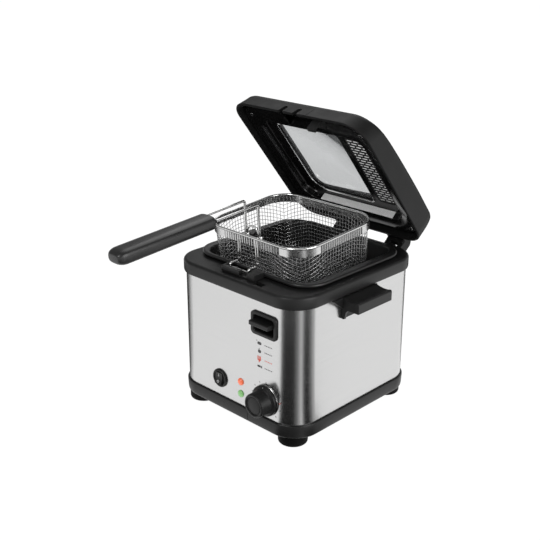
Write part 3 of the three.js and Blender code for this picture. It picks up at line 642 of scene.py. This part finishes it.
def build_knob():
    x0, x1, _, _, z0, z1 = span("temperature_knob")
    place, skirt = on_front((x0 + x1) / 2, (z0 + z1) / 2), (x1 - x0) / 2
    profile = [(skirt - 0.4, 1.5), (skirt, 2), (skirt, 4.1), (skirt - 0.3, 4.7), (skirt - 1.2, 5.1)]
    piece(
        "knob_cap", turned(profile + list(KNOB_FACE), steps=72), "knob", "black_plastic", place, KNOB_PLASTIC,
        ["temperature_knob"], crease=45,
    )
    pointer = slab(-0.4, 0.4, 16, 17.4, 0.3, 4.4, 5.25)
    piece("knob_pointer", pointer, "knob", "black_plastic", place, WHITE_PRINT)

    x0, x1, _, _, _, _ = span("dial_ring")
    r = (x1 - x0) / 2
    plate = turned([(r, 0.3), (r, 0.8), (r - 0.3, 1.1), (6, 1.1), (6, 0.3)], True, 72)
    piece("dial_plate", plate, "fryer", "steel", place, instead_of=["dial_ring"])
    tick = block(-0.3, 0.3, DIAL["near"], DIAL["far"], *INK)
    for i in range(DIAL["ticks"]):
        turn = math.radians(DIAL["first"] - DIAL["step"] * i)
        at = place @ Matrix.Rotation(turn - math.pi / 2, 4, "Z")
        look = RED_PRINT if i == DIAL["red"] else DARK_PRINT
        piece(f"dial_tick_{i}", tick, "fryer", "black_plastic", at, look)


def build_prints():
    """Rows of plain marks under the latch, one red: a simple shape of a few parts and a line of dashes."""
    rows = (
        (116.7, DARK_PRINT, [slab(-3, 3, -1.6, 1.8, 1.5, *INK), block(-5, -3.6, 2.2, 2.9, *INK)]),
        (107.8, DARK_PRINT, [slab(-2.2, 2.4, -2.6, 1.2, 1.7, *INK), block(-1, 0, 1.4, 2.8, *INK)]),
        (98.2, RED_PRINT, [block(-3 + 2 * i, -1.8 + 2 * i, -1, 3, *INK) for i in range(3)]
         + [slab(-3, 2.2, -2.4, -0.8, 0.7, *INK), slab(-1.2, 0.4, -4.6, -2.2, 0.6, *INK)]),
        (88.8, DARK_PRINT, [slab(-3.2, 2, -1.2, 1.2, 1.1, *INK), block(2.6, 3.8, -1.4, 1.4, *INK)]),
    )
    dashes = [block(8 + 2.4 * i, 9.4 + 2.4 * i, -0.5, 0.5, *INK) for i in range(5)]
    for number, (z, look, shapes) in enumerate(rows):
        place = on_front(PRINT_X, z)
        piece(f"print_row_{number}", together(*shapes, *dashes), "fryer", "black_plastic", place, look)


# ------------------------------------------------------------------ lid
SHELL = dict(w=197.7, y0=-105.2, y1=102.9, r=27.5, z0=182.6)
# The lid's outer surface as (height above z0, inset of the front edge, of the back edge, of the sides).
SHELL_LEVELS = (
    (0, 0.6, 0.6, 0.6),
    (0.8, 0.2, 0.1, 0),
    (15.5, 6.2, 0, 0),
    (17.5, 6.8, 0, 0),
    (19.5, 7.8, 0.1, 0),
    (21.5, 9.5, 0.4, 0),
    (22.7, 12.5, 0.6, 0),
    (23.6, 17, 0.8, 0),
    (24.8, 27, 1, 0),
    (26, 45, 1.5, 0),
    (27.1, 67, 2, 0),
    (28, 90, 2.4, 0),
    (29, 115, 3.6, 0.5),
    (30, 140, 5, 2),
)
WIRE_X = (-15.5, 5.5)  # the handle's two wires
# The liner: its margin lies at z, and its dish runs to x each way and from y0 to y1, up to the ceiling.
PANEL = dict(z=188.9, t=2, ceiling=199.3, x=78, y0=-70, y1=73)
MARGIN = dict(w=189.2, d=191.2, r=28.5)
LINER_NOTCH = (-25, 31, -98)  # x0, x1, y0 of the gap in the liner's front over the basket rest
WINDOW = (-62, 31, -56, 61)  # x0, x1, y0, y1 of the opening in the liner
WINDOW_RADII = (3, 22, 4, 3)  # back right, back left, front left and front right corner
VENT = (39, 66, -56, 59)  # x0, x1, y0, y1 of the grille
VENT_ROWS = 23
VENT_POST_STEP = 9.3
SHELL_WALL = 3
SHELL_SLOTS = 8  # steam slots through the cover over the grille
# The cover's arms reach back round the hinge pin, in two pairs joined by a bridge.
ARM_X = (-43, -24, 40, 59)
ARM_W = 7
ARM_R = 6.6
BRIDGE_X = (-42, 41)
BRIDGE_W = 24
SCREWS = {
    "front_left": (-82, -78.5),
    "front_right": (82, -78.5),
    "back_left": (-82, 84),
    "back_right": (82, 84),
}


def lid_level(inset, z, front, back):
    """A cross-section of the shell: inset from its sides, and from its front and back edges, at a height."""
    y0, y1 = SHELL["y0"] + front, SHELL["y1"] - back
    r = min(SHELL["r"] - inset, (y1 - y0) / 2.05)
    return section(SHELL["w"] - 2 * inset, y1 - y0, r, z, 0, (y0 + y1) / 2, 20)


def window_outline(grow, z, steps=20):
    """The window's outline in the lid: only its back left corner is widely rounded."""
    x0, x1, y0, y1 = WINDOW
    points = []
    for quarter, ((x, y), r) in enumerate(zip(((x1, y1), (x0, y1), (x0, y0), (x1, y0)), WINDOW_RADII)):
        sx, sy = (1 if x == x1 else -1), (1 if y == y1 else -1)
        cx, cy = x - sx * r, y - sy * r
        for i in range(steps + 1):
            turn = (quarter + i / steps) * math.pi / 2
            points.append((cx + (r + grow) * math.cos(turn), cy + (r + grow) * math.sin(turn), z))
    return points


def build_lid_shell():
    z0, y0, top = SHELL["z0"], SHELL["y0"], SHELL["z0"] + SHELL_LEVELS[-1][0]
    outside = [lid_level(side, z0 + rise, front, back) for rise, front, back, side in SHELL_LEVELS]
    t = SHELL_WALL
    inside = [lid_level(t, z0 - 1, t, t)]
    for rise, front, back, side in SHELL_LEVELS[2:]:
        inside.append(lid_level(side + t, z0 + rise - t, front + t, back + t))
    wx0, wx1, wy0, wy1 = WINDOW
    holes = [skin(inside)]
    holes.append(slab(wx0 - 4.5, wx1 + 4.5, wy0 - 4.5, wy1 + 4.5, 14, PANEL["ceiling"] + 2.4, top + 2))
    for x in WIRE_X:
        arch = [(x - 3, z0 - 1), (x + 3, z0 - 1)]
        for turn in [math.pi * i / 10 for i in range(11)]:
            arch.append((x + 3 * math.cos(turn), z0 + 8.5 + 3 * math.sin(turn)))
        holes.append(across(arch, y0 - 1, y0 + 12))
    vx0, vx1, vy0, _ = VENT
    for i in range(SHELL_SLOTS):
        y = vy0 + 8 + 14 * i
        holes.append(slab(vx0 + 6, vx1 + 2, y - 2, y + 2, 1.9, z0 + 20, top + 1))
    seam = [(y0 - 2, z0 - 1), (y0 + 0.9, z0 - 1), (y0 + 7.2, z0 + 15.5), (y0 + 5, z0 + 15.5)]
    holes.append(sideways(seam, 21.7, 22.3))
    piece("lid_cover", skin(outside), "lid", "black_plastic", LID, LID_PLASTIC, ["lid_shell"], holes)


def build_lid_arms():
    z0, low, back = SHELL["z0"], SHELL["z0"] + 0.8, SHELL["y1"] - 2.2
    turns = [math.radians(a) for a in range(0, -181, -18)]
    outline = [(HINGE.y + ARM_R * math.cos(t), HINGE.z + ARM_R * math.sin(t)) for t in turns]
    outline += [(HINGE.y - ARM_R, low), (back, low), (back, z0 + 9), (HINGE.y + 3.6, z0 + 9)]
    outline += [(HINGE.y + ARM_R, z0 + 5)]
    arms = [sideways(outline, x, x + ARM_W) for x in ARM_X]
    for x in BRIDGE_X:
        arms.append(block(x, x + BRIDGE_W, back, HINGE.y + 1, low, z0 + 8.5))
        arms.append(block(x, x + BRIDGE_W, HINGE.y - 8.2, HINGE.y + 1, HINGE.z + 8, z0 + 1.2))
    piece("lid_arms", together(*arms), "lid", "black_plastic", LID, LID_PLASTIC, edge=0.6)


def build_lid_panel():
    z, t, ceiling = PANEL["z"], PANEL["t"], PANEL["ceiling"]
    x, y0, y1 = PANEL["x"], PANEL["y0"], PANEL["y1"]

    def dish(grow, height, r=18):
        return section(2 * (x + grow), y1 - y0 + 2 * grow, r + grow, height, 0, (y0 + y1) / 2, 20)

    def margin(height, inset=0):
        w, d = MARGIN["w"] - 2 * inset, MARGIN["d"] - 2 * inset
        return section(w, d, MARGIN["r"] - inset, height, 0, 0, 20)

    loops = [dish(-3, ceiling), dish(-1.2, ceiling - 0.5), dish(-0.3, ceiling - 1.7), dish(0, ceiling - 3.2)]
    loops += [dish(0, z + 2), dish(0.5, z + 0.7), dish(1.7, z), margin(z, 0.6), margin(z + 0.6)]
    loops += [margin(z + t), dish(t, z + t), dish(t, ceiling + t)]
    vx0, vx1, vy0, vy1 = VENT
    holes = [
        skin([window_outline(0, ceiling - 1), window_outline(0, ceiling + 4)]),
        slab(vx0, vx1, vy0, vy1, 6, ceiling - 1, ceiling + 4),
        slab(*LINER_NOTCH, y0 + 9, 3, z - 2, ceiling - 0.6),
    ]
    piece(
        "lid_liner", skin(loops), "lid", "gloss_black", LID,
        instead_of=["lid_inner_panel", "lid_inner_plate"], holes=holes,
    )


def build_window():
    x0, x1, y0, y1 = WINDOW
    z = PANEL["ceiling"]
    pane = slab(x0 - 4, x1 + 3.5, y0 - 4, y1 + 4, 12, z + 2.3, z + 5.3, 0.5)
    piece("window_glass_pane", pane, "lid", "window", LID, instead_of=["window_pane"])
    levels = [(0, -0.3), (0, -1.2), (0.4, -1.6), (1.2, -1.6), (1.6, -1.2), (1.6, -0.3)]
    loops = [window_outline(out, z + up) for out, up in levels]
    right_side = block(x1 - 4, x1 + 4, y0 - 4, y1 - 8, z - 3, z + 1)
    front_side = block(x0 + 6, x1 + 4, y0 - 4, y0 + 4, z - 3, z + 1)
    piece(
        "window_trim", skin(loops, True), "lid", "bright_wire", LID,
        instead_of=["window_frame"], holes=[right_side, front_side],
    )


def build_vents():
    x0, x1, y0, y1 = VENT
    z0, z1 = PANEL["ceiling"] + 0.2, PANEL["ceiling"] + 1.8
    pitch = (y1 - y0 - 5) / VENT_ROWS
    grid = [slab_ring(x0 + 0.3, x1 - 0.3, y0 + 0.3, y1 - 0.3, 2.2, z0, z1)]
    for row in range(VENT_ROWS + 1):
        y = y0 + 2.5 + row * pitch
        grid.append(block(x0 + 1.5, x1 - 1.5, y - 1.15, y + 1.15, z0, z1))
    for row in range(VENT_ROWS):
        y = y0 + 2.5 + (row + 0.5) * pitch
        for column in range(3):
            x = x0 + 2 + (column + (0.5 if row % 2 else 0)) * VENT_POST_STEP
            if x < x1 - 2:
                grid.append(block(x - 0.9, x + 0.9, y - pitch / 2, y + pitch / 2, z0 + 0.1, z1 - 0.1))
    piece("vent_grid", together(*grid), "lid", "black_plastic", LID, instead_of=["vent_grille"])
    # The felt behind the grille is drawn as a near-white sheet: painted light standing in for the brightness seen
    # through the slots.
    sheet = slab(x0 + 1, x1 - 1, y0 + 1, y1 - 1, 5, z0 + 0.5, z0 + 1.2)
    piece("vent_backing", sheet, "lid", "filter_felt", LID, PAINTED_REFLECTION_SHEET)


def slab_ring(x0, x1, y0, y1, wall, z0, z1):
    w, d, middle = x1 - x0, y1 - y0, ((x0 + x1) / 2, (y0 + y1) / 2)
    levels = [(0, z0), (0, z1), (wall, z1), (wall, z0)]
    return skin([section(w - 2 * inset, d - 2 * inset, 6 - inset, z, *middle) for inset, z in levels], True)


def build_lid_details():
    z, ceiling, x, y1 = PANEL["z"], PANEL["ceiling"], PANEL["x"], PANEL["y1"]
    # The baffle's near-white colour is a painted reflection of the bright surroundings in its steel.
    strip = [(y1 - 1.6, z + 0.4), (y1 - 0.4, z + 0.2), (y1 - 0.4, ceiling - 0.7), (y1 - 1.6, ceiling - 0.9)]
    piece(
        "baffle_strip", sideways(strip, -x + 24, x - 19), "lid", "bright_wire", LID, PAINTED_REFLECTION_SHEET,
        ["steam_baffle"], edge=0.3,
    )
    head = turned([(0.8, 0.7), (1.1, 0.1), (2.4, -0.1), (3, 0.6), (3, 1.6)], steps=28)
    for number, (corner, (sx, sy)) in enumerate(SCREWS.items()):
        place = LID @ Matrix.Translation((sx, sy, z))
        node = "lid_screw_" + corner
        piece(f"liner_screw_{number}", head, "lid", "steel", place, LOOKS["bright_wire"], [node])


# ------------------------------------------------------------------ basket
RIM = dict(w=154, d=134, r=30, depth=68, taper=2.5, band=8)
BAND_PITCH = 3.7  # from one rib of the band to the next
MESH_PITCH = 4.7
MESH_WIRE = 0.31  # radius
CORNER_DIP = 14  # how far the woven rows sag at the corners
HANDLE = dict(leg_y=-56.2, foot=-9, top=34.9, wire=1.5)
EYELET = dict(r=2.5, wire=0.75, turns=3, pitch=4.4 / 3)
GRIP = dict(y0=-117.4, z=32.6, length=126.7, w=24, h=16)


def around(inset, pitch, phase=0.0):
    """Evenly spaced (x, y, nearness to a corner) points round the basket, inset from the rim's outer edge."""
    half = (RIM["w"] / 2 - inset, RIM["d"] / 2 - inset)
    r = RIM["r"] - inset
    arc = math.pi * r / 2
    runs = [2 * (half[1 - quarter % 2] - r) + arc for quarter in range(4)]
    count = round(sum(runs) / pitch)
    points = []
    for k in range(count):
        rest, quarter = (k + phase) * sum(runs) / count, 0
        while rest >= runs[quarter]:
            rest -= runs[quarter]
            quarter += 1
        reach, side = half[quarter % 2], half[1 - quarter % 2]
        if rest < runs[quarter] - arc:
            x, y = reach, rest - (side - r)
            corner = max(0.0, abs(y) - (side - r - 18)) / 18 * 0.5
        else:
            turn = (rest - runs[quarter] + arc) / r
            x, y = reach - r + r * math.cos(turn), side - r + r * math.sin(turn)
            corner = 1 - 0.5 * abs(turn - math.pi / 4) / (math.pi / 4)
        c, s = math.cos(quarter * math.pi / 2), math.sin(quarter * math.pi / 2)
        points.append((x * c - y * s, x * s + y * c, corner))
    return points


def wall_inset(z):
    """How far the mesh wall has drawn in at a depth below the rim."""
    depth, taper = RIM["depth"], RIM["taper"]
    inset = 1.9 + taper * max(0.0, -z - 3) / (depth - 7)
    curl = max(0.0, -z - (depth - 5))
    return inset + 0.11 * curl * curl


def drawn_in(x, y, inset, z):
    return x * (1 - inset / (RIM["w"] / 2)), y * (1 - inset / (RIM["d"] / 2)), z


def build_basket_rim():
    w, d, r, band = RIM["w"], RIM["d"], RIM["r"], RIM["band"]
    path = [(x, y, -1.5) for x, y in rounded_rect(w - 3, d - 3, r - 1.5, 12)]
    hoop = tube(path, RIM_WIRE / 2, 14, True)
    piece("basket_hoop", hoop, "basket", "bright_wire", BASKET, instead_of=["basket_rim_wire"])
    inner, outer = [], []
    for x, y, corner in around(0.75, BAND_PITCH / 6):
        ridge = 0.75 * math.sin(2 * math.pi * len(outer) / 6) * (1 if corner < 0.42 else 0)
        length = math.hypot(x, y)
        outer.append((x * (1 + ridge / length), y * (1 + ridge / length)))
        inner.append((x * (1 - (0.6 - ridge) / length), y * (1 - (0.6 - ridge) / length)))
    top, low = -2.9, -3.1 - band
    loops = [[(x, y, top) for x, y in outer], [(x, y, low) for x, y in outer]]
    loops += [[(x, y, low) for x, y in inner], [(x, y, top) for x, y in inner]]
    piece(
        "basket_ribbed_band", skin(loops, True), "basket", "steel", BASKET,
        instead_of=["basket_band"], crease=60,
    )


def floor_wires(half, other, z):
    """Straight wires across a rounded floor: (offset, half length) for each."""
    r, reach = RIM["r"], half - wall_inset(z)
    lines = [(k + 0.5) * MESH_PITCH for k in range(int((reach - 3) / MESH_PITCH))]
    for line in [-v for v in lines] + lines:
        past = max(0.0, abs(line) - (half - r))
        yield line, other - wall_inset(z) - r + math.sqrt(r * r - past * past)


def build_basket_mesh():
    depth, band = RIM["depth"], RIM["band"]
    top, floor = -3.4, -depth + 0.6
    wires = []
    for x, y, _ in around(0, MESH_PITCH):
        heights = [top - (depth + top - 0.8) * i / 12 for i in range(13)]
        wires.append([drawn_in(x, y, wall_inset(z), z) for z in heights])
    for line, reach in floor_wires(RIM["w"] / 2, RIM["d"] / 2, floor):
        wires.append([(line, -reach, floor), (line, reach, floor)])
    for line, reach in floor_wires(RIM["d"] / 2, RIM["w"] / 2, floor):
        wires.append([(-reach, line, floor), (reach, line, floor)])
    solids = [tube(path, MESH_WIRE, 5) for path in wires]
    for row in range(int((depth - band + CORNER_DIP) / MESH_PITCH)):
        ring = []
        for x, y, corner in around(0, MESH_PITCH * 0.9, 0.5):
            z = max(-depth + 1.2, -depth + 1.5 + row * MESH_PITCH - CORNER_DIP * corner**1.4)
            ring.append(drawn_in(x, y, wall_inset(z) + 0.7, min(z, top - 1)))
        solids.append(tube(ring, MESH_WIRE, 5, True))
    piece(
        "basket_wire_mesh", together(*solids), "basket", "bright_wire", BASKET, MESH_STEEL,
        ["basket_mesh"], crease=80,
    )


def build_brackets():
    """Wire pairs on the front wall that the handle plugs into, with the lugs that hook on the tank's rest."""
    front = -RIM["d"] / 2 + 0.2
    for name, x, lean in (("left", WIRE_X[0] - 1.5, -2.0), ("right", WIRE_X[1] + 4.3, 0.0)):
        left, right, low = x - 1.7, x + 1.7, -31
        path = [(left, front + 0.8, -3), (left + lean, front + 1.2, low)]
        path += [(right + lean, front + 1.2, low), (right, front + 0.8, -3)]
        piece(
            "bracket_wire_" + name, tube(bent(path, 1.5), 1, 10), "basket", "bright_wire", BASKET,
            instead_of=["basket_bracket_" + name],
        )


def build_handle():
    """Two wires from the grip that turn down into the brackets, a coil on each and an arch between them."""
    leg_y, foot, top = HANDLE["leg_y"], HANDLE["foot"], HANDLE["top"]
    for name, x in zip(("left", "right"), WIRE_X):
        corners = [(x, GRIP["y0"] - 0.5, top), (x, leg_y, top), (x, leg_y, foot)]
        rod = tube(bent(corners, 3), HANDLE["wire"], 16)
        node = "handle_wire_" + name
        piece("handle_rod_" + name, rod, "basket", "bright_wire", BASKET, instead_of=[node])
        coil = tube(helix(EYELET["r"], EYELET["turns"], EYELET["pitch"], foot + 1.4), EYELET["wire"], 8)
        place = BASKET @ Matrix.Translation((x, leg_y, 0))
        node = "handle_eyelet_" + name
        piece("handle_coil_" + name, coil, "basket", "bright_wire", place, instead_of=[node])
    middle, reach = sum(WIRE_X) / 2, (WIRE_X[1] - WIRE_X[0]) / 2 - 1.4
    corners = ((-reach, -1), (-reach * 0.7, 7), (reach * 0.7, 7), (reach, -1))
    arch = tube(bent([(middle + x, leg_y, z) for x, z in corners], 5), 1.2, 12)
    piece("handle_arch", arch, "basket", "bright_wire", BASKET, instead_of=["handle_bridge"])


def build_grip():
    w, h, length = GRIP["w"], GRIP["h"], GRIP["length"]
    near, far = 5, 11  # lengths over which the two ends round off
    turns = [math.pi / 2 * i / 8 for i in range(9)]
    loops = []
    for t in turns:
        pinch = 1 - math.sin(t)
        loops.append(grip_section(w - 8 * pinch, h - 7 * pinch, near * (1 - math.cos(t))))
    for t in turns:
        pinch = 1 - math.cos(t)
        loops.append(grip_section(w - 11 * pinch, h - 9.5 * pinch, length - far + far * math.sin(t)))
    start = Matrix.Translation((sum(WIRE_X) / 2, GRIP["y0"], GRIP["z"]))
    place = BASKET @ start @ Matrix.Rotation(math.pi / 2, 4, "X")
    piece(
        "grip_moulding", skin(loops), "basket", "black_plastic", place, GRIP_PLASTIC,
        ["handle_grip"], crease=60,
    )


def grip_section(w, h, along):
    """A flat-topped oval across the grip, softer below than above."""
    count = 64
    loop = []
    for i in range(count):
        turn = 2 * math.pi * i / count
        c, s = math.cos(turn), math.sin(turn)
        power = 0.55 if s > 0 else 0.7
        x, y = w / 2 * math.copysign(abs(c) ** 0.6, c), h / 2 * math.copysign(abs(s) ** power, s)
        loop.append((x, y, along))
    return loop


# ------------------------------------------------------------------ hinge and what stays as packed
HINGE_COIL = dict(r=4.2, wire=0.5, turns=5)


def build_hinge():
    for name in ("left", "right"):
        x0, x1, _, _, _, _ = span("hinge_pin_" + name)
        length = x1 - x0
        rod = turned([(2.1, 0), (2.5, 0.5), (2.5, length - 0.5), (2.1, length)])
        rod = along_x(rod, x0, HINGE.y, HINGE.z)
        piece("hinge_rod_" + name, rod, "fryer", "steel", instead_of=["hinge_pin_" + name])
        x0, x1, _, _, _, _ = span("hinge_spring_" + name)
        coil = []
        for i in range(HINGE_COIL["turns"] * 20 + 1):
            t = 2 * math.pi * i / 20
            x = x0 + 0.5 + (x1 - x0 - 1) * i / (HINGE_COIL["turns"] * 20)
            coil.append((x, HINGE.y + HINGE_COIL["r"] * math.cos(t), HINGE.z + HINGE_COIL["r"] * math.sin(t)))
        spring = tube(coil, HINGE_COIL["wire"], 8)
        piece("hinge_coil_" + name, spring, "fryer", "bright_wire", instead_of=["hinge_spring_" + name])


def dress_packed_nodes():
    """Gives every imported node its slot's material, and the moulded blocks that still show a soft edge."""
    slots = {part["node"]: part["material_slot"] for part in frame["record"]["subparts"]}
    for name, node in frame["nodes"].items():
        node.data.materials.clear()
        node.data.materials.append(LOOKS[slots[name]])
    for name in ("basket_rest", "lid_hook", "cord_gland"):
        soften(frame["nodes"][name], 0.4)


# ------------------------------------------------------------------ studio
FLOOR_REACH = 40
# Each light's place, what it points at, its side and its power in watts.
LIGHTS = {
    "key": ((-0.5, 0.9, 1.5), (0, 0, 0.15), 1.4, 9),
    "right": ((1.7, 0.1, 0.45), (0, 0, 0.15), 1.2, 18),
    "brow": ((0.1, -0.9, 0.75), (0.02, 0.1, 0.24), 0.4, 3.2),
}
# What the steel corners reflect: sectors of floor as (start, end, brightness), in degrees about each
# corner's centre.
CARDS = {
    "near": (
        (-10, -2, 0.10), (-2, 44, 0.01), (44, 54, 0.12), (54, 62, 0.35), (62, 71, 0.75),
        (71, 77, 0.2), (77, 98, 0.0), (98, 109, 0.14), (109, 123, 0.45),
    ),
    "left": ((-150, -88, 0.0), (-88, -78, 0.12), (-78, -68, 0.4), (-68, -56, 0.7)),
    "right": ((182, 240, 0.0), (174, 182, 0.3)),
}
CARD_NEAR = 34
CARD_FAR = 700
CAMERA = dict(azimuth=44.52, elevation=21.23, target=(-22.26, -21.88, 162.4), distance=1.1011, lens=62.4)


def area_light(name, at, towards, size, power):
    data = bpy.data.lights.new(name, "AREA")
    data.shape = "RECTANGLE"
    data.size, data.size_y, data.energy = size, size, power
    lamp = bpy.data.objects.new(name, data)
    lamp.location = at
    lamp.rotation_euler = (Vector(towards) - Vector(at)).to_track_quat("-Z", "Y").to_euler()
    bpy.context.scene.collection.objects.link(lamp)


def build_studio():
    bpy.context.scene.view_settings.view_transform = "Standard"
    world = bpy.data.worlds.new("studio")
    bpy.context.scene.world = world
    world.use_nodes = True
    tree = world.node_tree
    direction = tree.nodes.new("ShaderNodeTexCoord")
    parts = tree.nodes.new("ShaderNodeSeparateXYZ")
    level = tree.nodes.new("ShaderNodeMapRange")
    level.inputs["From Min"].default_value = 0.05
    level.inputs["From Max"].default_value = 0.75
    level.inputs["To Min"].default_value = 0.3
    level.inputs["To Max"].default_value = 0.22
    tree.links.new(direction.outputs["Generated"], parts.inputs["Vector"])
    tree.links.new(parts.outputs["Z"], level.inputs["Value"])
    tree.links.new(level.outputs["Result"], tree.nodes["Background"].inputs["Strength"])
    tree.nodes["Background"].inputs["Color"].default_value = (1, 1, 1, 1)

    corners = ((-1, -1), (1, -1), (1, 1), (-1, 1))
    verts = [(x * FLOOR_REACH, y * FLOOR_REACH, -0.0005) for x, y in corners]
    floor = make_object("floor", (verts, [(0, 1, 2, 3)]), Matrix.Identity(4))
    material, tree, shader = node_material("floor_paper", (0.1, 0.1, 0.1), 0.9, Emission_Strength=0.98)
    shader.inputs["Emission Color"].default_value = (1, 1, 1, 1)
    vary(tree, shader, noise(tree, 30), "Roughness", 0.85, 0.95)
    floor.data.materials.append(material)

    for name, settings in LIGHTS.items():
        area_light(name, *settings)


def reflection_card(name, x, y, start, end, grey):
    """A sector of floor seen only in glossy surfaces: it gives a steel corner its dark and mid bands.

    It fans out from (x, y) between two azimuths, which start at the front and turn towards the right.
    """
    turns = [math.radians(start + (end - start) * i / 8) for i in range(9)]
    verts = [(x + CARD_NEAR * math.sin(t), y - CARD_NEAR * math.cos(t), 0.3) for t in turns]
    verts += [(x + CARD_FAR * math.sin(t), y - CARD_FAR * math.cos(t), 0.3) for t in reversed(turns)]
    card = make_object(name, (verts, [tuple(range(len(verts)))]), FRYER)
    black = (0, 0, 0)
    material, _, shader = node_material(name, black, 1.0, Specular_IOR_Level=0.0, Emission_Strength=grey)
    shader.inputs["Emission Color"].default_value = (1, 1, 1, 1)
    card.data.materials.append(material)
    card.visible_camera = card.visible_diffuse = card.visible_shadow = card.visible_transmission = False


def build_reflections():
    x0, x1, y0, y1, _, _ = span("steel_housing")
    r = HOUSING_R
    centres = {"near": (x1 - r, y0 + r), "left": (x0 + r, y0 + r), "right": (x1 - r, y1 - r)}
    for corner, sectors in CARDS.items():
        for number, sector in enumerate(sectors):
            reflection_card(f"card_{corner}_{number}", *centres[corner], *sector)


def build_camera():
    """A long lens from the front right, a little above."""
    azimuth, elevation = math.radians(CAMERA["azimuth"]), math.radians(CAMERA["elevation"])
    target = FRYER @ Vector(CAMERA["target"])
    back = Vector((
        math.sin(azimuth) * math.cos(elevation),
        -math.cos(azimuth) * math.cos(elevation),
        math.sin(elevation),
    ))
    data = bpy.data.cameras.new("camera")
    data.lens, data.sensor_width = CAMERA["lens"], 36
    camera = bpy.data.objects.new("camera", data)
    camera.location = target + back * CAMERA["distance"]
    camera.rotation_euler = (-back).to_track_quat("-Z", "Y").to_euler()
    bpy.context.scene.collection.objects.link(camera)
    bpy.context.scene.camera = camera


build_camera()
dress_packed_nodes()
build_feet()
build_base()
build_housing()
build_collar()
build_hinge_ears()
build_tank()
build_drain_hook()
build_carry_handles()
build_latch()
build_switch()
build_lamps()
build_knob()
build_prints()
build_lid_shell()
build_lid_arms()
build_lid_panel()
build_window()
build_vents()
build_lid_details()
build_basket_rim()
build_basket_mesh()
build_brackets()
build_handle()
build_grip()
build_hinge()
build_studio()
build_reflections()
